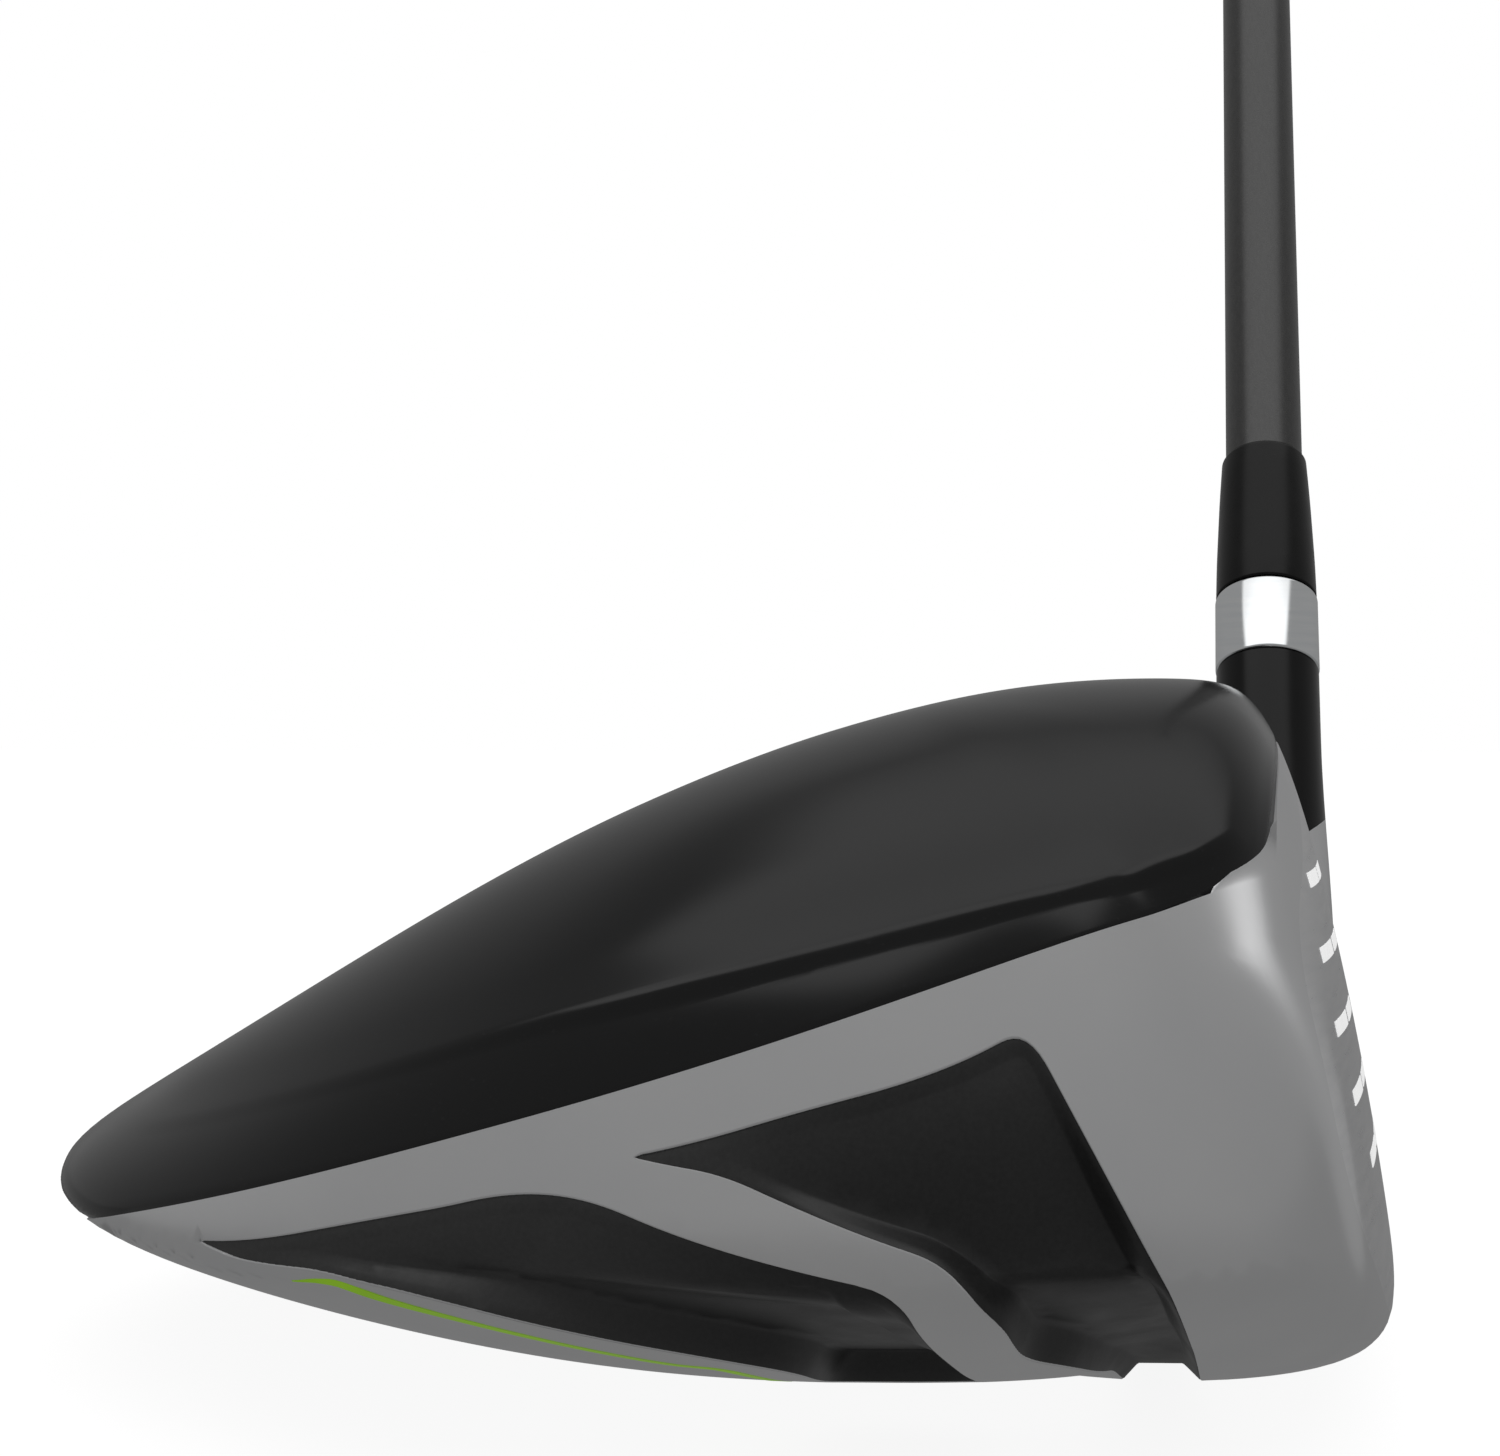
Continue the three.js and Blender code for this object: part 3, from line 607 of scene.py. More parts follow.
# Front recess: a wedge at the toe that runs on as a channel across the sole to the heel.
FRONT_WEDGE = rounded_outline([
    (20, 0, 0.1), (19.8, -30, 8), (17.4, -45.5, 4), (14.3, -51.8, 3), (14.1, -61.5, 2.4),
    (11.6, -67.6, 2.6), (0.5, -71.9, 4), (-6, -74.2, 3), (-15, -74.9, 0.4), (1, -78.9, 6),
    (26, -82.4, 3.4), (26.6, -58, 6), (25.9, 0, 0.1)])
REAR_WEDGE = rounded_outline([
    (-52.6, -55.3, 0.4), (-38, -65, 6), (-21.5, -72.6, 8), (7.6, -65.8, 3), (8.8, -50.5, 4),
    (9.2, -30, 4), (-2.6, -30, 4), (-3.2, -45.5, 4), (-8.5, -52.6, 5), (-19.5, -59.6, 6),
    (-29, -62, 5), (-39.5, -60.4, 3), (-47, -57.2, 2)])
ACCENT_LINE = [(-41.8, -57.9), (-39, -59.4), (-36, -59.9), (-28.7, -58.6), (-22.9, -56), (-17.7, -52.4),
               (-12.4, -48.2), (-8.8, -46.3), (-7, -40), (-6.4, -32)]
ACCENT_WIDTH = 1.1


def joined_at_middle(half):
    """A toe-side outline whose open ends lie on v = 0, closed with its mirror image."""
    start = int(np.argmin(np.hypot(*(half - [20, 0]).T)))
    run = np.roll(half, -start, 0)
    run = run[run[:, 1] < -0.3]
    return resampled(np.vstack([run, run[::-1] * [1, -HEEL_SCALE]]), 0.7)


def curve_through(points, spacing=0.6):
    """A smooth curve through a few points."""
    points = np.asarray(points, float)
    padded = np.vstack([2 * points[0] - points[1], points, 2 * points[-1] - points[-2]])
    made = []
    for a, b, c, d in zip(padded, padded[1:], padded[2:], padded[3:]):
        for t in np.linspace(0, 1, 9)[:-1]:
            made.append(0.5 * (2 * b + (c - a) * t + (2 * a - 5 * b + 4 * c - d) * t * t
                               + (3 * b - a - 3 * c + d) * t ** 3))
    made.append(points[-1])
    return resampled(np.array(made), spacing, closed=False)


def ribbon(centre, width):
    """The outline of a ribbon along a curve, tapered to a point at its first end."""
    along = unit(np.gradient(centre, axis=0))
    side = np.stack([-along[:, 1], along[:, 0]], -1)
    taper = np.minimum(1, np.linspace(0, 6, len(centre)) + 0.12)[:, None]
    return np.vstack([centre + side * taper * width / 2, (centre - side * taper * width / 2)[::-1]])


FRONT_RECESS = joined_at_middle(FRONT_WEDGE)
RECESSES = {
    "front_channel_inlay": FRONT_RECESS,
    "toe_rear_inlay": REAR_WEDGE,
    "heel_rear_inlay": mirrored(REAR_WEDGE),
}
TOE_ACCENT = ribbon(curve_through(ACCENT_LINE), ACCENT_WIDTH)
ACCENTS = {"toe_accent_strip": TOE_ACCENT, "heel_accent_strip": mirrored(TOE_ACCENT)}

TRAY_GAP = 0.05
EDGE_ROUND = 0.1
POCKET_DEPTH = 3.4
WALL_RUN = 1.25  # width of a recess wall
ACCENT_DEPTH = 0.6
SOLE_WALL, FACE_WALL = 5.0, 3.2
SKIRT_STAND = 0.6  # how far the skirt stands out at the seam
SKIRT_REACH = 11.0


# Upper edges of the recesses on the chart, where their floors meet the skirt.
FRONT_UPPER = ((-15, 5, 26), (-75, -80, -82.5))
REAR_UPPER = ((-52.6, -38, -21.5, 7.6), (-55.3, -65, -72.6, -65.8))
LEAST_DEPTH = 0.14  # share of the depth that is left at the upper edges


def terrace_rim(v):
    """The line across a rear recess where its floor steps up to the terrace."""
    return 2.6 + 0.24 * (v + 65.5)


def recess_depth(name, uv):
    """Depth of a recess floor below the head surface: shallow along its upper edge."""
    u, v = uv[:, 0], -np.abs(uv[:, 1])
    if name == "front_channel_inlay":
        shallow = smooth_step(v - np.interp(u, *FRONT_UPPER), 0, 16)
        deep = 0.5 + 2.2 * smooth_step(u, -12, 12) - 1.3 * smooth_step(v, -52, -26)
        return deep * (LEAST_DEPTH + (1 - LEAST_DEPTH) * shallow)
    shallow = smooth_step(v - np.interp(u, *REAR_UPPER), 0, 9)
    deep = (0.7 + 2.0 * smooth_step(u, -52, -26)) * (LEAST_DEPTH + (1 - LEAST_DEPTH) * shallow)
    terrace = 1.25 * smooth_step(u - terrace_rim(v), -0.5, 0.5) * (0.1 + 0.9 * shallow)
    return deep - np.where(v > -66, terrace, terrace * smooth_step(v, -69, -66))


def wall_profile(depth, inset):
    """Depth across a recess, from its edge inwards: a straight wall, then the floor."""
    run = inset / WALL_RUN
    floor = smooth_min(run, np.ones_like(run), 0.16)
    return EDGE_ROUND + (depth - EDGE_ROUND) * np.maximum(floor, 0)


def skin_offset(uv, tray=None):
    """Height of the visible skin over the head surface: body skin, or a recess panel."""
    if tray:
        inset = np.maximum(-signed_distance(uv, RECESSES[tray]) - TRAY_GAP, 0)
        return -wall_profile(recess_depth(tray, uv), inset)
    height = np.zeros(len(uv))
    for outline in RECESSES.values():
        out = np.clip(signed_distance(uv, outline) / EDGE_ROUND, 0, 1)
        height -= EDGE_ROUND * (1 - np.sqrt(np.clip(1 - (1 - out) ** 2, 0, 1)))
    theta, below = below_seam(uv)
    turn = np.degrees(np.abs(theta))
    stand = smooth_step(turn, 32, 55) * (1 - smooth_step(turn, 112, 140))
    return height + stand * SKIRT_STAND * np.clip(1 - below / SKIRT_REACH, 0, 1.2) ** 2


INWARD_SPAN = 3.0  # recess floors follow the head's normals averaged over this reach


def skin(uv, tray=None, sunk=False):
    """Points of the visible skin over chart positions."""
    base = from_chart(uv)
    normals = surface_normals(uv, from_chart, INWARD_SPAN if tray else 0.04)
    rise, sink = fillet_height(base, normals)
    height = skin_offset(uv, tray) + rise
    if sunk:
        height = height - sink
    return base + normals * height[:, None]


# ---- face insert ----
FACE_OUTLINE = [(-30, 10, 8), (20, 10, 8), (33, 22, 8), (35, 40, 8), (12, 53.6, 12), (-16, 53.6, 12),
                (-42, 43, 8), (-43, 22, 8)]


def face_chart(points_yz):
    """Chart positions of face points given by (y, z), by Newton's method."""
    target = np.asarray(points_yz, float)
    uv = np.stack([np.full(len(target), 62.0) + (target[:, 1] - 15) * 0.9, target[:, 0] * 1.5], -1)
    h = 0.1
    for _ in range(25):
        error = from_chart(uv)[:, 1:] - target
        du = (from_chart(uv + [h, 0]) - from_chart(uv - [h, 0]))[:, 1:] / (2 * h)
        dv = (from_chart(uv + [0, h]) - from_chart(uv - [0, h]))[:, 1:] / (2 * h)
        det = du[:, 0] * dv[:, 1] - dv[:, 0] * du[:, 1]
        det = np.where(np.abs(det) < 1e-3, 1e-3, det)
        step_u = (error[:, 0] * dv[:, 1] - dv[:, 0] * error[:, 1]) / det
        step_v = (du[:, 0] * error[:, 1] - error[:, 0] * du[:, 1]) / det
        uv = uv - np.clip(np.stack([step_u, step_v], -1), -4, 4)
    return uv


FACE_RING = face_chart(rounded_outline(FACE_OUTLINE, 1.0))
SCORE_ROWS, SCORE_PITCH, SCORE_LOWEST, SCORE_LENGTH, SCORE_GAP = 5, 5.7, 23.4, 8.5, 1.6
SCORE_HALF_HEIGHT = 0.6


def score_marks():
    """Chart outlines of the white score line dashes, two on each side of each row."""
    marks = []
    for row in range(SCORE_ROWS):
        start = 27 + 8.5 * math.sin(math.pi * (row + 0.4) / SCORE_ROWS)
        z = SCORE_LOWEST + SCORE_PITCH * row
        for side in (-1, 1):
            for dash in (0, 1):
                outer = start - dash * (SCORE_LENGTH + SCORE_GAP)
                inner = outer - SCORE_LENGTH
                ys = np.linspace(inner, outer, 9) * side
                bottom = [(y, z - SCORE_HALF_HEIGHT) for y in ys]
                top = [(y, z + SCORE_HALF_HEIGHT) for y in ys[::-1]]
                marks.append(face_chart(bottom + top))
    return marks


# ---- chart triangulation ----
class ChartMesh:
    """A triangulation of the chart below the seam, with feature lines as edges."""

    def __init__(self):
        self.points, self.edges, self.lines = [], [], []

    def add_line(self, line, keep=None, closed=True):
        start, count = len(self.points), len(line)
        keep = np.ones(count, bool) if keep is None else keep
        self.points.extend(line.tolist())
        self.lines.append((line, closed))
        for i in range(count if closed else count - 1):
            j = (i + 1) % count
            if keep[i] and keep[j]:
                self.edges.append((start + i, start + j))

    def fill_points(self):
        """A staggered lattice over the chart, kept clear of the feature lines."""
        rows = []
        for k, v in enumerate(np.arange(-108, 108, FILL_SPACING * math.sqrt(3) / 2)):
            u = np.arange(-90, 112, FILL_SPACING) + (FILL_SPACING / 2 if k % 2 else 0)
            rows.append(np.stack([u, np.full(len(u), v)], -1))
        uv = np.vstack(rows)
        uv = uv[below_seam(uv)[1] > 0.6 * FILL_SPACING]
        away = np.min([line_distance(uv, line, closed) for line, closed in self.lines], 0)
        return uv[away > FILL_CLEARANCE]

    def build(self):
        points = [Vector(p) for p in self.points + self.fill_points().tolist()]
        out = delaunay_2d_cdt(points, self.edges, [], 0, 1e-5)
        self.uv = np.array([tuple(p) for p in out[0]])
        tris = np.array([tuple(f) for f in out[2] if len(f) == 3])
        a, b, c = (self.uv[tris[:, k]] for k in range(3))
        area = np.cross(b - a, c - a)
        tris = tris[np.abs(area) > 1e-7]
        flip = area[np.abs(area) > 1e-7] < 0
        tris[flip] = tris[flip][:, ::-1]
        self.tris = tris
        self.centres = self.uv[tris].mean(1)


RING_INSETS = (0.12, 0.0, -0.05, -0.5, -0.95, -1.2, -1.4)
FILL_SPACING, FILL_CLEARANCE = 1.5, 0.62


def chart_mesh():
    made = ChartMesh()
    made.add_line(np.stack([SEAM_ARCS * np.cos(SEAM_TURNS), SEAM_ARCS * np.sin(SEAM_TURNS)], -1))
    for outline in RECESSES.values():
        for inset in RING_INSETS:
            ring, keep = offset_ring(outline, inset) if inset else (outline, None)
            made.add_line(ring, keep)
    for line in (*ACCENTS.values(), FACE_RING, *score_marks()):
        made.add_line(line)
    v = np.linspace(-68, -31, 60)
    for scale in (1, -HEEL_SCALE):
        for side in (-0.5, 0.0, 0.5):
            rim = np.stack([terrace_rim(v) + side, v], -1) * [1, scale]
            made.add_line(rim, closed=False)
    made.build()
    return made


def slab(name, mesh, picked, top, bottom, shading=None, pockets=None, pocket_points=None):
    """A closed solid over the picked triangles, from a top to a bottom table of points. It
    goes on under the pocket triangles, where its top is the table of pocket points."""
    pockets = np.zeros(len(mesh.tris), bool) if pockets is None else pockets
    tables = {"top": top, "pocket": pocket_points, "bottom": bottom}
    points, faces, normals = [], [], []
    index = {}

    def vertex(layer, v):
        if (layer, v) not in index:
            index[layer, v] = len(points)
            points.append(tables[layer][v])
            normals.append(shading[v] if layer == "top" and shading is not None else (0, 0, 0))
        return index[layer, v]

    directed = {}
    for t in np.nonzero(picked | pockets)[0]:
        layer = "pocket" if pockets[t] else "top"
        a, b, c = (int(v) for v in mesh.tris[t])
        faces.append((vertex(layer, c), vertex(layer, b), vertex(layer, a)))
        faces.append((vertex("bottom", a), vertex("bottom", b), vertex("bottom", c)))
        for edge in ((a, b), (b, c), (c, a)):
            directed[edge] = layer
    for (a, b), layer in directed.items():
        other = directed.get((b, a))
        if other is None:
            faces.append((vertex(layer, a), vertex(layer, b), vertex("bottom", b), vertex("bottom", a)))
        elif layer == "top" and other == "pocket":
            faces.append((vertex("top", a), vertex("top", b), vertex("pocket", b), vertex("pocket", a)))
    piece = make_object(name, points, faces)
    face_outwards(piece)
    mark_sharp(piece, 40)
    if shading is not None:
        set_normals(piece, normals)
    return piece


# The bright streak down the skirt's front corner, over the arc length below the seam.
STREAK_TURN = ((0, 5, 20), (49.0, 51.0, 46.5))  # where it lies, in degrees
STREAK_WIDTH = ((0, 20), (3.4, 2.4))
STREAK_LEAN = ((0, 10, 20, 34), (0.5, 0.85, 0.8, 0.0))
STREAK_OUT = 0.35


def skirt_shading(uv, normals):
    """The skirt stands steep up to the seam, and its rounded front corner leans back."""
    theta, below = below_seam(uv)
    turn = np.degrees(np.abs(theta))
    away = (turn - np.interp(below, *STREAK_TURN)) / np.interp(below, *STREAK_WIDTH)
    corner = np.exp(-away ** 2)
    limit = 0.30 - 0.12 * smooth_step(turn, 45, 60)
    kept = limit + 0.08 * (normals[:, 2] - limit)
    zone = (1 - corner) * (1 - smooth_step(turn, 118, 140))
    over = np.maximum(normals[:, 2] - kept, 0) * (normals[:, 2] > limit)
    made = normals.copy()
    made[:, 1] -= STREAK_OUT * corner * (theta < 0)
    made[:, 2] += np.interp(below, *STREAK_LEAN) * corner * (theta < 0) - over * zone
    return unit(made)


def build_head_lower():
    """The body, the face insert, the recess panels, the accent strips and the score paint."""
    made = chart_mesh()
    uv, centres = made.uv, made.centres
    base = from_chart(uv)
    normals = surface_normals(uv, from_chart)
    inward = surface_normals(uv, from_chart, INWARD_SPAN)
    in_recess = {name: inside_outline(centres, outline) for name, outline in RECESSES.items()}
    in_accent = {name: inside_outline(centres, outline) for name, outline in ACCENTS.items()}
    in_face = inside_outline(centres, FACE_RING)
    in_marks = np.any([inside_outline(centres, mark) for mark in score_marks()], axis=0) & in_face
    pockets = np.any([*in_recess.values(), *in_accent.values()], axis=0)
    top = skin(uv, sunk=True)
    shading = skirt_shading(uv, surface_normals(uv, skin))
    strip_edge = np.min([line_distance(uv, outline, True) for outline in ACCENTS.values()], 0) < 1e-3
    is_strip = strip_edge | np.any([inside_outline(uv, outline) for outline in ACCENTS.values()], axis=0)
    pocket_depth = np.where(is_strip, ACCENT_DEPTH + 0.1, POCKET_DEPTH)
    thin = 1 - 0.6 * smooth_step(-uv[:, 0], 50, 72)
    inner = base - inward * (SOLE_WALL * thin)[:, None]
    pieces = {
        "sole_body": slab("sole_body_shell", made, ~(pockets | in_face), top, inner, shading,
                          pockets, base - inward * pocket_depth[:, None]),
        "face_plate": slab("face_insert", made, in_face, top, base - normals * FACE_WALL, shading),
        "score_paint": slab("score_line_paint", made, in_marks, top + normals * 0.05,
                            top + normals * 0.005, shading),
    }
    for name, outline in RECESSES.items():
        inset = signed_distance(centres, outline) < -TRAY_GAP * 0.5
        tray_shading = surface_normals(uv, lambda q, n=name: skin(q, n))
        floor = base - inward * (POCKET_DEPTH - 0.1)
        pieces[name] = slab(name + "_panel", made, in_recess[name] & inset, skin(uv, name), floor,
                            tray_shading)
    for name in ACCENTS:
        pieces[name] = slab(name + "_ribbon", made, in_accent[name], base + normals * 0.03,
                            base - normals * ACCENT_DEPTH, shading)
    return pieces


# ---- neck and heel boss ----
NECK_AROUND = 96
BOSS_TIP = 13.0


def head_tree():
    """A lookup of the bare head surface."""
    theta = np.linspace(-math.pi, math.pi, 361)[:-1]
    t = np.linspace(-0.999, 0.999, 220)
    grid = head_point(*np.meshgrid(t, theta, indexing="ij")[::-1])
    rows, around = grid.shape[:2]
    faces = []
    for i in range(rows - 1):
        faces += ladder(i * around, (i + 1) * around, around)
    return BVHTree.FromPolygons(grid.reshape(-1, 3).tolist(), faces)


HEAD_TREE = head_tree()


def head_distance(points):
    """Distance outside the head surface and its outward normal, for a grid of points."""
    flat = points.reshape(-1, 3)
    away, normals = np.zeros(len(flat)), np.zeros((len(flat), 3))
    for i, p in enumerate(flat.tolist()):
        found, normal, _, _ = HEAD_TREE.find_nearest(p)
        gap = Vector(p) - found
        away[i] = gap.dot(normal)
        normals[i] = normal
    return away.reshape(points.shape[:-1]), normals.reshape(points.shape)


def neck_point(origins, directions):
    """Reach of rays from the axis to the blended neck, and how far their ends then hide
    under the head's surface."""
    def value(reach):
        points = origins + directions * reach[..., None]
        head, normals = head_distance(points)
        return smooth_min(head, tube_distance(points), blend_width(normals)), head, points

    shortest = np.full(origins.shape[:-1], HOSEL_RADIUS - 0.6)
    reach = bisected(lambda r: value(r)[0] < 0, shortest, shortest + 5.2, 12)
    _, head, points = value(reach)
    closeness = tube_distance(points) - head
    return reach, SINK * smooth_step(closeness, 0, 3)


def spokes(phi):
    """Unit directions away from the shaft axis."""
    return np.cos(phi)[..., None] * TARGET + np.sin(phi)[..., None] * ACROSS


def axis_rows(stations, phi):
    """Ray origins and directions for rows round the shaft axis. Rows below the start of the
    tube turn down round its end."""
    side = spokes(phi)
    drop = np.clip(TUBE_START - stations, 0, None) / (TUBE_START - BOSS_TIP)
    tilt = drop * math.pi / 2
    origins = HOSEL_FOOT + np.maximum(stations, TUBE_START)[..., None] * AXIS
    directions = side * np.cos(tilt)[..., None] - AXIS * np.sin(tilt)[..., None]
    return origins, directions


def blended_rows(stations, phi):
    origins, directions = axis_rows(stations, phi)
    reach, sink = neck_point(origins, directions)
    shown = origins + directions * reach[..., None]
    return shown, origins + directions * (reach - sink)[..., None]


def seam_station(phi):
    """The station where the neck crosses the paint line, for each direction round the axis."""
    def below(station):
        points = blended_rows(station, phi)[0]
        return points[:, 2] < seam_height(points[:, 0], points[:, 1]) - SEAM_DROP

    return bisected(below, np.full(len(phi), 30.0), np.full(len(phi), 70.0), 10)


def axis_points(stations, phi, radius):
    """Points round the shaft axis."""
    return HOSEL_FOOT + stations[..., None] * AXIS + spokes(phi) * radius


def sleeve(name, outer_stations, phi, bore_stations, bore_radii):
    """A closed piece round the shaft axis: its blended outside, then its bore."""
    shown, outer = blended_rows(outer_stations, phi)
    bore = np.stack([axis_points(s, phi[0], r) for s, r in zip(bore_stations, bore_radii)])
    piece = join_grids(name, [outer, bore], rings_close=bool(bore_radii[-1]))
    normals = grid_normals(shown)
    centre = HOSEL_FOOT + outer_stations[..., None] * AXIS
    if ((shown - centre) * normals).sum() < 0:
        normals = -normals
    table = {}
    for p, n in zip(outer[2:].reshape(-1, 3), normals[2:].reshape(-1, 3)):
        table[tuple(np.round(p, 3))] = n
    places = [tuple(np.round(np.array(vertex.co) / MM, 3)) for vertex in piece.data.vertices]
    set_normals(piece, [table.get(p, (0, 0, 0)) for p in places])
    return piece


def build_neck():
    """The black neck above the paint line and the grey heel boss below it."""
    phi = np.linspace(0, 2 * math.pi, NECK_AROUND + 1)[:-1]
    seam = seam_station(phi)
    share = np.linspace(0, 1, 64)[:, None]
    ring = np.broadcast_to(phi, (64, NECK_AROUND))
    above = seam + (TUBE_END - seam) * share
    neck = sleeve("hosel_neck_shell", above, ring,
                  [np.full(NECK_AROUND, TUBE_END), seam], [BORE_RADIUS, BORE_RADIUS])
    share = np.linspace(0, 1, 56)[:, None]
    below = BOSS_TIP + (seam - BOSS_TIP) * share
    ring = np.broadcast_to(phi, (56, NECK_AROUND))
    floor = np.full(NECK_AROUND, BORE_FLOOR)
    boss = sleeve("heel_boss", below, ring, [seam, floor, floor], [BORE_RADIUS, BORE_RADIUS, 0.0])
    return neck, boss


# ---- turned pieces ----
def rounded_profile(corners):
    """(radius, station) points of a closed profile: each corner is (radius, station, fillet)."""
    points = []
    count = len(corners)
    for i, (radius, station, fillet) in enumerate(corners):
        corner = np.array([radius, station], float)
        if not fillet:
            points.append(corner)
            continue
        before = unit(np.array(corners[i - 1][:2]) - corner)
        after = unit(np.array(corners[(i + 1) % count][:2]) - corner)
        for t in np.linspace(0, 1, 6):
            points.append(corner + fillet * ((1 - t) ** 2 * before + t * t * after))
    return np.array(points)


def turned(name, profile, around=96, closed=True):
    """A solid of revolution about the shaft axis."""
    phi = np.linspace(0, 2 * math.pi, around + 1)[:-1]
    grid = np.stack([axis_points(np.full(around, s), phi, r) for r, s in profile])
    return join_grids(name, [grid], rings_close=closed, sharp=40)


def shaft_radius(station):
    return np.interp(station, [TAPER_START, CLUB_LENGTH], [SHAFT_RADIUS, SHAFT_BUTT_RADIUS])


def build_ring():
    bore, outer = SLEEVE_RADIUS, HOSEL_RADIUS + 0.1
    return turned("trim_ring_polished", rounded_profile([
        (bore, RING_BOTTOM, 0), (outer, RING_BOTTOM, 0.35), (outer, RING_TOP, 0.35), (bore, RING_TOP, 0)]))


def build_ferrule():
    bore, foot = SLEEVE_RADIUS, RING_TOP + 0.3
    return turned("ferrule_sleeve", rounded_profile([
        (bore, foot, 0), (6.25, foot, 0.3), (6.15, 92, 2), (5.75, 102, 3), (5.4, FERRULE_TOP, 0.5),
        (bore, FERRULE_TOP, 0)]))


TIP_WALL, BUTT_WALL = 1.9, 0.9


def build_shaft():
    tip, butt = BORE_FLOOR + 5, CLUB_LENGTH - 7
    stations = np.linspace(tip, butt, 40)
    radii = shaft_radius(stations)
    walls = np.where(stations > TAPER_START, BUTT_WALL, TIP_WALL)
    outer = list(zip(radii, stations))
    inner = list(zip(radii - walls, stations))[::-1]
    return turned("shaft_tube", outer + inner, around=72)


# ---- grip ----
CAP_BOTTOM = CLUB_LENGTH - 5
GRIP_TOP = CAP_BOTTOM - 0.3
GRIP_AROUND = 216
GRIP_OUTER = [(GRIP_MOUTH, 8.3), (GRIP_MOUTH + 1.5, 8.9), (GRIP_MOUTH + 9, 8.9), (GRIP_MOUTH + 10.5, 8.6),
              (960, 9.9), (1060, 11.4), (1120, 12.8), (GRIP_TOP, 13.9)]
GRIP_PITCH = 5.4
GRIP_GROOVE = 0.38
GRIP_STARTS = 12  # spiral grooves each way round
GRIP_PANELS = ((884, 968), (980, 1122))
GRIP_RINGS = (881, 971, 974, 977, 1125, 1128, 1131)


def grip_groove(phi, station):
    """Depth of the moulded pattern: crossed spiral grooves in panels, with plain bands and
    fine rings between them."""
    depth = np.zeros_like(station)
    for low, high in GRIP_PANELS:
        inside = smooth_step(station, low, low + 1) * (1 - smooth_step(station, high - 1, high))
        for way in (-1, 1):
            turns = phi * GRIP_STARTS + way * math.pi * station / GRIP_PITCH
            wave = np.abs(np.sin(turns / 2))
            depth = np.maximum(depth, inside * (1 - smooth_step(wave, 0.10, 0.24)))
    for centre in GRIP_RINGS:
        depth = np.maximum(depth, 1 - smooth_step(np.abs(station - centre), 0.25, 0.7))
    return GRIP_GROOVE * depth


def build_grip():
    stations = np.concatenate([
        np.linspace(GRIP_MOUTH, GRIP_MOUTH + 12, 17), np.arange(GRIP_MOUTH + 12.6, GRIP_TOP - 0.5, 0.62),
        [GRIP_TOP - 0.4, GRIP_TOP]])
    phi = np.linspace(0, 2 * math.pi, GRIP_AROUND + 1)[:-1]
    grid_s, grid_phi = np.meshgrid(stations, phi, indexing="ij")
    knots, radii = zip(*GRIP_OUTER)
    radius = np.interp(grid_s, knots, radii) - grip_groove(grid_phi, grid_s)
    outer = axis_points(grid_s, grid_phi, radius[..., None])
    bores = [(float(shaft_radius(s)) + 1.0, s) for s in (GRIP_TOP, GRIP_MOUTH)]
    inner = np.stack([axis_points(np.full(GRIP_AROUND, s), phi, r) for r, s in bores])
    return join_grids("grip_sleeve", [outer, inner], sharp=60)


def build_cap():
    top, dip = CLUB_LENGTH, CLUB_LENGTH - 2.2
    corners = [
        (13.9, CAP_BOTTOM, 0.3), (14.2, CAP_BOTTOM + 1.6, 1.0), (13.9, top, 1.4), (9.6, top, 0.2),
        (9.3, top - 0.5, 0.2), (8.5, top - 0.5, 0.2), (8.2, top, 0.2), (2.0, top, 0.3), (1.6, dip, 0.2)]
    profile = [(0.0, CAP_BOTTOM), *rounded_profile(corners), (0.0, dip)]
    return turned("grip_end_cap", profile, closed=False)


# ---- materials ----
WHITE = (1, 1, 1, 1)


class Nodes:
    """Adds nodes to a shader tree. Every value is a node output or a number."""

    def __init__(self, tree):
        self.tree = tree

    def feed(self, socket, value):
        if isinstance(value, bpy.types.NodeSocket):
            self.tree.links.new(value, socket)
        else:
            socket.default_value = value

    def node(self, kind, values=None, **settings):
        made = self.tree.nodes.new(kind)
        for key, value in settings.items():
            setattr(made, key, value)
        for key, value in (values or {}).items():
            self.feed(made.inputs[key], value)
        return made

    def maths(self, operation, *values):
        return self.node("ShaderNodeMath", dict(enumerate(values)), operation=operation).outputs[0]

    def between(self, factor, low, high, span=(0.3, 0.7), **settings):
        """A number that follows a factor over a span, from low to high."""
        return self.node("ShaderNodeMapRange", {
            "Value": factor, "From Min": span[0], "From Max": span[1], "To Min": low, "To Max": high,
        }, **settings).outputs[0]

    def by_camera(self, unseen, seen):
        """One shader for light paths and another for what the camera sees directly."""
        path = self.node("ShaderNodeLightPath").outputs["Is Camera Ray"]
        return self.node("ShaderNodeMixShader", {0: path, 1: unseen, 2: seen}).outputs[0]


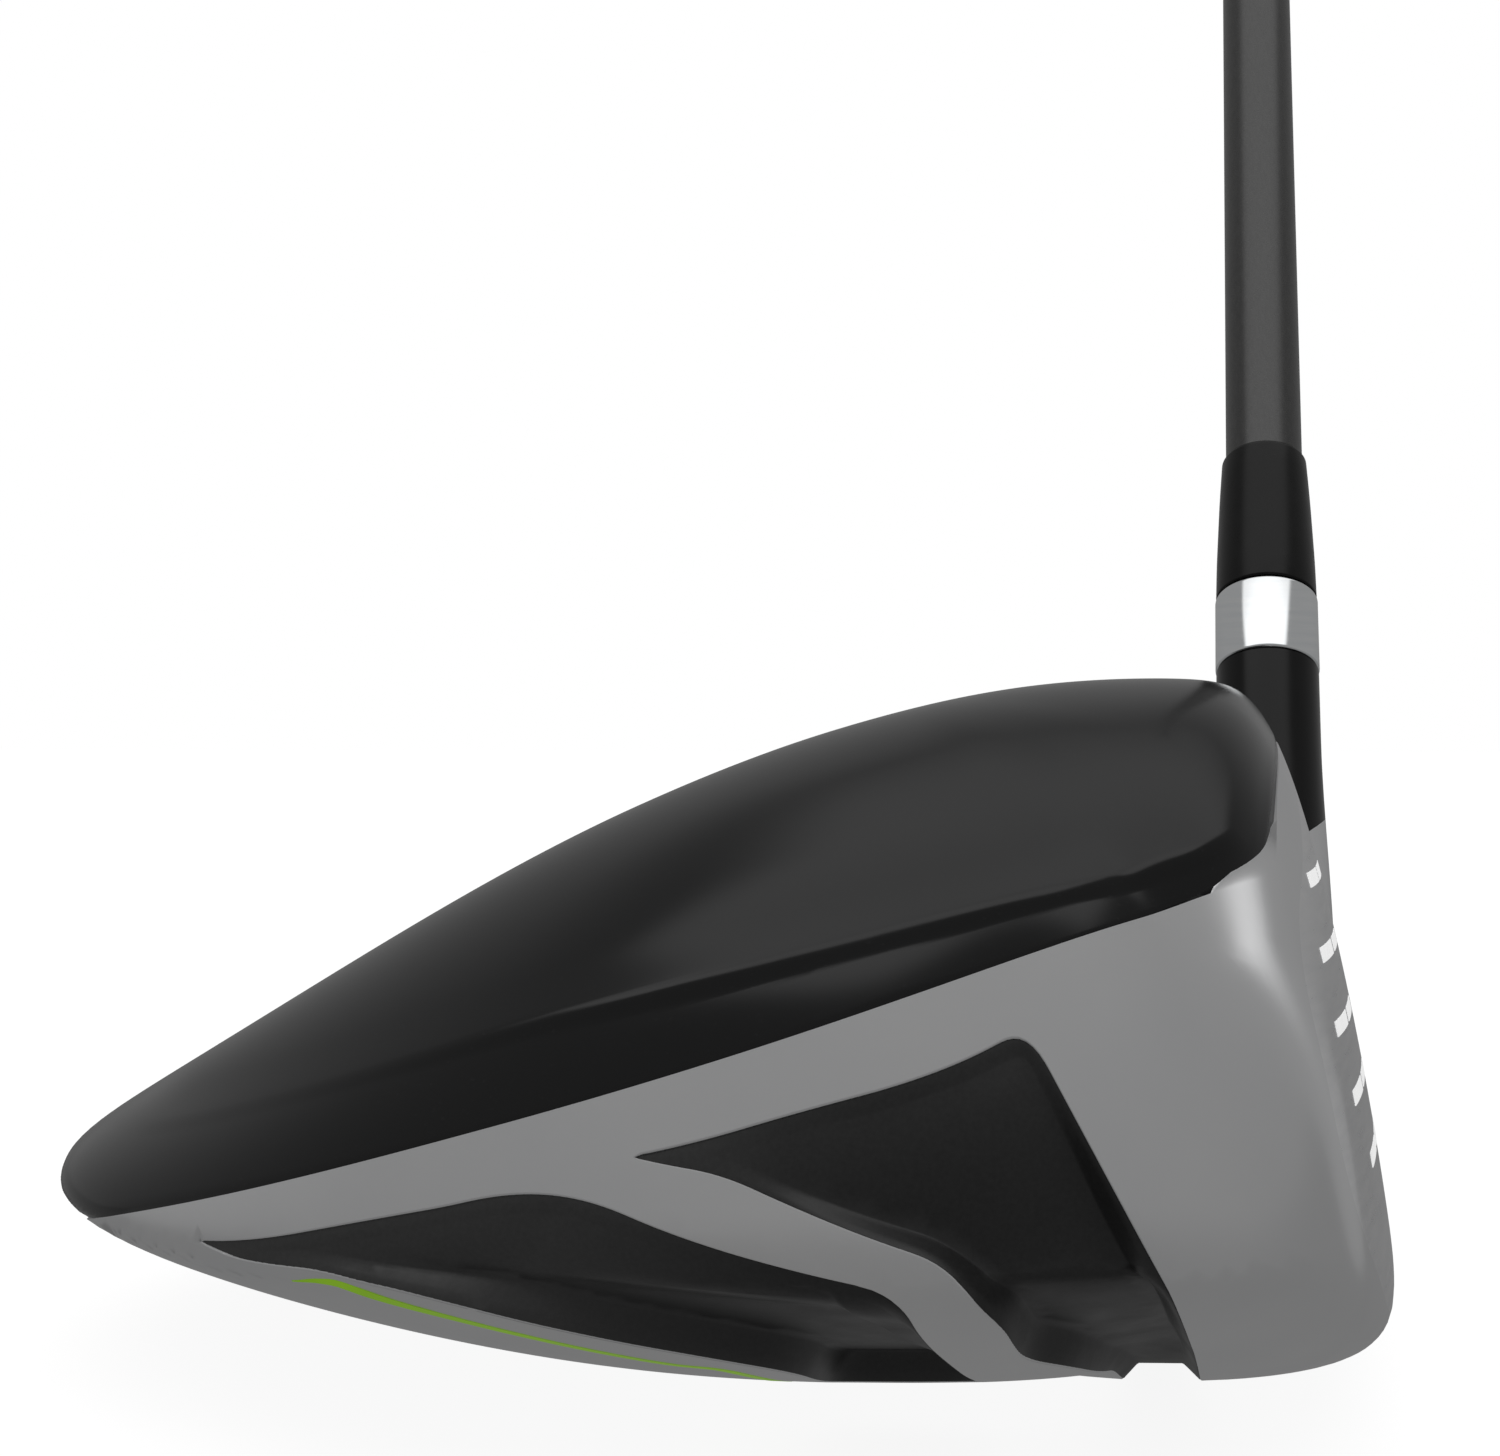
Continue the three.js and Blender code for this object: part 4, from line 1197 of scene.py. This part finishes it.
class Recipe(Nodes):
    """Builds a node material step by step."""

    def __init__(self, name):
        self.material = bpy.data.materials.new(name)
        self.material.use_nodes = True
        super().__init__(self.material.node_tree)
        self.shader = self.tree.nodes["Principled BSDF"]
        self.place = self.node("ShaderNodeTexCoord").outputs["Object"]

    def scaled(self, factors):
        """The position, stretched per axis."""
        values = {0: self.place, 1: factors}
        return self.node("ShaderNodeVectorMath", values, operation="MULTIPLY").outputs[0]

    def noise(self, scale, detail=3.0, roughness=0.55, vector=None):
        return self.node("ShaderNodeTexNoise", {
            "Vector": vector or self.place, "Scale": scale, "Detail": detail, "Roughness": roughness,
        }).outputs["Fac"]

    def cells(self, scale):
        return self.node("ShaderNodeTexVoronoi", {"Vector": self.place, "Scale": scale}).outputs

    def mixed(self, factor, low, high):
        values = {0: factor, 6: low, 7: high}
        return self.node("ShaderNodeMix", values, data_type="RGBA").outputs[2]

    def clouded(self, factor, low, high):
        """A colour that follows the middle of a noise from low to high."""
        return self.mixed(self.between(factor, 0, 1), low, high)

    def finish(self, color, rough, bump, **inputs):
        """rough is a factor with its low and high roughness, and bump is a height with its
        strength and its depth in millimetres."""
        height, strength, depth = bump
        values = {"Height": height, "Strength": strength, "Distance": depth * MM}
        normal = self.node("ShaderNodeBump", values)
        names = {"metallic": "Metallic", "ior": "IOR", "specular": "Specular IOR Level",
                 "emission": "Emission Color", "emission_strength": "Emission Strength"}
        self.feed(self.shader.inputs["Base Color"], color)
        self.feed(self.shader.inputs["Roughness"], self.between(*rough))
        self.feed(self.shader.inputs["Normal"], normal.outputs[0])
        for key, value in inputs.items():
            self.feed(self.shader.inputs[names[key]], value)
        return self.material


def rgb(red, green, blue):
    return (red, green, blue, 1)


def grey(value):
    return rgb(value, value, value)


def crown_paint():
    made = Recipe("crown_paint")
    sparkle = made.between(made.cells(5200)["Color"], 0.0, 1.0, (0.88, 1.0))
    color = made.mixed(sparkle, rgb(0.0016, 0.0017, 0.0019), rgb(0.012, 0.012, 0.013))
    return made.finish(color, (made.noise(60), 0.16, 0.19), (made.noise(420, 2), 0.02, 0.01), ior=1.47)


def hosel_paint():
    made = Recipe("hosel_paint")
    color = made.mixed(made.noise(900, 2), grey(0.004), grey(0.006))
    return made.finish(color, (made.noise(80), 0.2, 0.26), (made.noise(500, 2), 0.03, 0.01), ior=1.33)


def body_satin():
    made = Recipe("body_satin")
    grain = made.noise(5200, 2)
    color = made.clouded(made.noise(45, 4), rgb(0.845, 0.85, 0.86), rgb(0.89, 0.892, 0.895))
    return made.finish(color, (grain, 0.29, 0.33), (grain, 0.012, 0.01), metallic=1.0)


def face_metal():
    made = Recipe("face_metal")
    lines = made.noise(900, 3, 0.6, made.scaled((1.0, 0.06, 1.6)))
    color = made.clouded(lines, rgb(0.90, 0.905, 0.915), rgb(0.96, 0.96, 0.965))
    return made.finish(color, (lines, 0.27, 0.34), (lines, 0.07, 0.015), metallic=1.0)


def inlay_black():
    """Black in the front recess and a little paler towards the rear, where the paler colour is a painted
    sheen standing in for a brighter grazing reflection.
    """
    made = Recipe("inlay_black")
    grain = made.noise(2600, 3)
    along = made.node("ShaderNodeSeparateXYZ", {"Vector": made.place}).outputs["X"]
    # Painted sheen: the rear panels get a paler colour that stands in for their brighter grazing
    # reflection.
    rear = made.between(along, 1.0, 0.0, (-0.006, 0.012))
    color = made.mixed(rear, made.clouded(grain, grey(0.013), grey(0.02)),
                       made.clouded(grain, grey(0.045), grey(0.055)))
    return made.finish(color, (made.noise(200), 0.36, 0.46), (grain, 0.12, 0.02), ior=1.5)


def accent_green():
    made = Recipe("accent_green")
    cloud = made.noise(240, 3)
    color = made.clouded(cloud, rgb(0.24, 0.48, 0.015), rgb(0.28, 0.54, 0.025))
    # Painted light: the emission makes the green strips glow, though they are no lamp.
    return made.finish(color, (cloud, 0.32, 0.42), (made.noise(2400), 0.05, 0.01), specular=0.12,
                       emission=color, emission_strength=0.35)


def mark_white():
    made = Recipe("mark_white")
    cloud = made.noise(600, 3)
    color = made.clouded(cloud, grey(0.82), grey(0.9))
    # Painted light: the white emission makes the score marks glow, though they are no lamp.
    return made.finish(color, (cloud, 0.4, 0.5), (cloud, 0.05, 0.01), emission=WHITE,
                       emission_strength=0.55)


def trim_ring():
    made = Recipe("trim_ring")
    lines = made.noise(1500, 2, 0.5, made.scaled((0.05, 0.05, 1.0)))
    color = made.clouded(lines, rgb(0.86, 0.885, 0.9), rgb(0.92, 0.935, 0.94))
    return made.finish(color, (lines, 0.08, 0.13), (lines, 0.02, 0.01), metallic=1.0)


def ferrule_plastic():
    made = Recipe("ferrule_plastic")
    cloud = made.noise(500, 3)
    color = made.clouded(cloud, grey(0.003), grey(0.005))
    return made.finish(color, (cloud, 0.26, 0.32), (made.noise(900), 0.03, 0.01), ior=1.33)


def tip_weight():
    made = Recipe("tip_weight")
    lines = made.noise(1200, 2)
    color = made.mixed(lines, grey(0.5), grey(0.62))
    return made.finish(color, (lines, 0.25, 0.4), (lines, 0.05, 0.01), metallic=1.0)


def graphite():
    made = Recipe("graphite")
    fibres = made.noise(2600, 3, 0.6, made.scaled((1.0, 0.35, 0.25)))
    grain = made.noise(4200, 2)
    color = made.clouded(fibres, rgb(0.017, 0.0165, 0.016), rgb(0.034, 0.0335, 0.0325))
    return made.finish(color, (grain, 0.26, 0.34), (grain, 0.10, 0.015), ior=1.72)


def grip_rubber():
    made = Recipe("grip_rubber")
    grain = made.noise(3000, 3)
    color = made.clouded(made.noise(90, 3), grey(0.011), grey(0.018))
    return made.finish(color, (grain, 0.62, 0.8), (grain, 0.3, 0.04))


def grip_tape():
    """A fine weave: waves along the tape and across it."""
    made = Recipe("grip_tape")
    values = {"Vector": made.place, "Scale": 900.0, "Distortion": 0.4}
    waves = [made.node("ShaderNodeTexWave", values, bands_direction=way).outputs["Fac"] for way in "XZ"]
    weave = made.maths("MULTIPLY", *waves)
    color = made.mixed(weave, rgb(0.52, 0.49, 0.4), rgb(0.68, 0.65, 0.56))
    return made.finish(color, (weave, 0.8, 0.95), (weave, 0.3, 0.05))


def bore_plug():
    made = Recipe("bore_plug")
    foam = made.cells(1800)["Distance"]
    color = made.mixed(foam, rgb(0.30, 0.24, 0.17), rgb(0.42, 0.35, 0.26))
    return made.finish(color, (foam, 0.8, 0.95), (foam, 0.4, 0.1))


MATERIALS = {make.__name__: make() for make in (
    crown_paint, hosel_paint, body_satin, face_metal, inlay_black, accent_green, mark_white, trim_ring,
    ferrule_plastic, tip_weight, graphite, grip_rubber, grip_tape, bore_plug)}


# ---- assembly ----
def place(piece, node, slot, look=None):
    """A finished piece: its material, the node it stands for, its body and its slot."""
    piece.data.materials.clear()
    piece.data.materials.append(MATERIALS[look or slot])
    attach(piece, "root")
    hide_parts(node)


lower = build_head_lower()
neck, boss = build_neck()
place(build_crown(), "crown", "crown_paint")
place(lower["sole_body"], "sole_body", "body_satin")
place(boss, "sole_body", "body_satin")
place(neck, "hosel_neck", "hosel_paint")
place(lower["face_plate"], "face_plate", "face_metal")
place(lower["score_paint"], "face_plate", "face_metal", "mark_white")
for name in RECESSES:
    place(lower[name], name, "inlay_black")
for name in ACCENTS:
    place(lower[name], name, "accent_green")
place(build_ring(), "ferrule_trim_ring", "trim_ring")
place(build_ferrule(), "ferrule", "ferrule_plastic")
place(build_shaft(), "shaft", "graphite")
place(build_grip(), "grip", "grip_rubber")
place(build_cap(), "grip_cap", "grip_rubber")
# Pieces inside the others keep the CAD's own mesh.
HIDDEN = {"hosel_bore_plug": "bore_plug", "shaft_tip_plug": "tip_weight", "grip_tape": "grip_tape"}
for node, look in HIDDEN.items():
    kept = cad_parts[node]
    kept.data.materials.clear()
    kept.data.materials.append(MATERIALS[look])


# ---- floor, light, camera ----
ROOM_LIGHT, LOW_LIGHT = 0.27, 0.21  # the room above and below the horizon
PANEL_LIGHT = 1.15
# Corners of the two soft panels overhead, as x/z and y/z of the direction towards them.
PANELS = (
    [(-0.5, -0.8), (-0.5, 0.78), (1.1, 0.78), (1.1, 0.5), (0.85, -0.31), (0.85, -0.8)],
    [(-1.0, -0.8), (-1.0, -0.15), (-0.45, 0.2), (-0.3, 0.2), (-0.3, -0.8)],
)
PANEL_EDGE = 0.1
PANEL_FADES = ((-0.42, -0.15, 0.76), (0.0, 0.8, 0.14))  # span of y/z and the light that is left
CAMERA_PLACE = Vector((41.6, -218.1, 58.4)) * MM
CAMERA_YAW, CAMERA_PITCH = math.radians(11.45), math.radians(0.07)
CAMERA_LENS = 53.76


def build_world():
    """A grey room with two soft panels overhead, on a white ground for the camera."""
    world = bpy.data.worlds.new("studio")
    bpy.context.scene.world = world
    world.use_nodes = True
    world.node_tree.nodes.clear()
    made = Nodes(world.node_tree)

    def ramp(value, span, start, end):
        return made.between(value, start, end, span, interpolation_type="SMOOTHSTEP")

    direction = made.node("ShaderNodeTexCoord").outputs["Generated"]
    x, y, z = made.node("ShaderNodeSeparateXYZ", {0: direction}).outputs
    lift = made.maths("MAXIMUM", z, 0.02)
    across, along = made.maths("DIVIDE", x, lift), made.maths("DIVIDE", y, lift)

    def panel(corners):
        """1 inside a convex panel, fading to 0 over its soft edge."""
        inside = ramp(z, (0.25, 0.4), 0.0, 1.0)
        for (x0, y0), (x1, y1) in zip(corners, corners[1:] + corners[:1]):
            length = math.hypot(x1 - x0, y1 - y0)
            nx, ny = (y1 - y0) / length, -(x1 - x0) / length
            side = made.maths("ADD", made.maths("MULTIPLY", across, nx), made.maths("MULTIPLY", along, ny))
            side = made.maths("SUBTRACT", side, nx * x0 + ny * y0)
            inside = made.maths("MULTIPLY", inside, ramp(side, (-PANEL_EDGE, PANEL_EDGE), 0.0, 1.0))
        return inside

    lit = made.maths("MAXIMUM", *[panel(corners) for corners in PANELS])
    for low, high, left in PANEL_FADES:
        lit = made.maths("MULTIPLY", lit, ramp(along, (low, high), 1.0, left))
    room = ramp(z, (-0.5, 0.35), LOW_LIGHT, ROOM_LIGHT)
    strength = made.maths("ADD", room, made.maths("MULTIPLY", lit, PANEL_LIGHT - ROOM_LIGHT))
    light = made.node("ShaderNodeBackground", {"Color": WHITE, "Strength": strength})
    ground = made.node("ShaderNodeBackground", {"Color": WHITE, "Strength": 1.0})
    made.node("ShaderNodeOutputWorld", {0: made.by_camera(light.outputs[0], ground.outputs[0])})


def build_floor():
    """A plain pale floor that fades into the white ground."""
    side = 6000.0
    steps = 8
    ticks = np.linspace(-side, side, steps + 1)
    points = [(x, y, -0.05) for y in ticks for x in ticks]
    faces = []
    for j in range(steps):
        for i in range(steps):
            a = j * (steps + 1) + i
            faces.append((a, a + 1, a + steps + 2, a + steps + 1))
    floor = make_object("floor", points, faces)
    made = Recipe("floor_paper")
    grain = made.noise(12, 3)
    glow = made.node("ShaderNodeEmission", {"Color": WHITE, "Strength": 0.9})
    faint = made.node("ShaderNodeBsdfDiffuse", {"Color": made.mixed(grain, grey(0.26), grey(0.28))})
    seen = made.node("ShaderNodeAddShader", {0: faint.outputs[0], 1: glow.outputs[0]})
    pale = made.mixed(grain, grey(0.95), grey(1.0))
    unseen = made.node("ShaderNodeEmission", {"Color": pale, "Strength": 0.2})
    output = made.tree.nodes["Material Output"]
    made.feed(output.inputs["Surface"], made.by_camera(unseen.outputs[0], seen.outputs[0]))
    floor.data.materials.append(made.material)


def build_camera():
    data = bpy.data.cameras.new("camera")
    data.lens = CAMERA_LENS
    data.sensor_width = 36.0
    data.clip_start = 0.01
    data.clip_end = 50.0
    camera = bpy.data.objects.new("camera", data)
    bpy.context.scene.collection.objects.link(camera)
    turn = Matrix.Rotation(CAMERA_YAW, 4, "Z") @ Matrix.Rotation(math.pi / 2 + CAMERA_PITCH, 4, "X")
    camera.matrix_world = Matrix.Translation(CAMERA_PLACE) @ turn
    bpy.context.scene.camera = camera


build_world()
build_floor()
build_camera()
bpy.context.scene.view_settings.view_transform = "Standard"
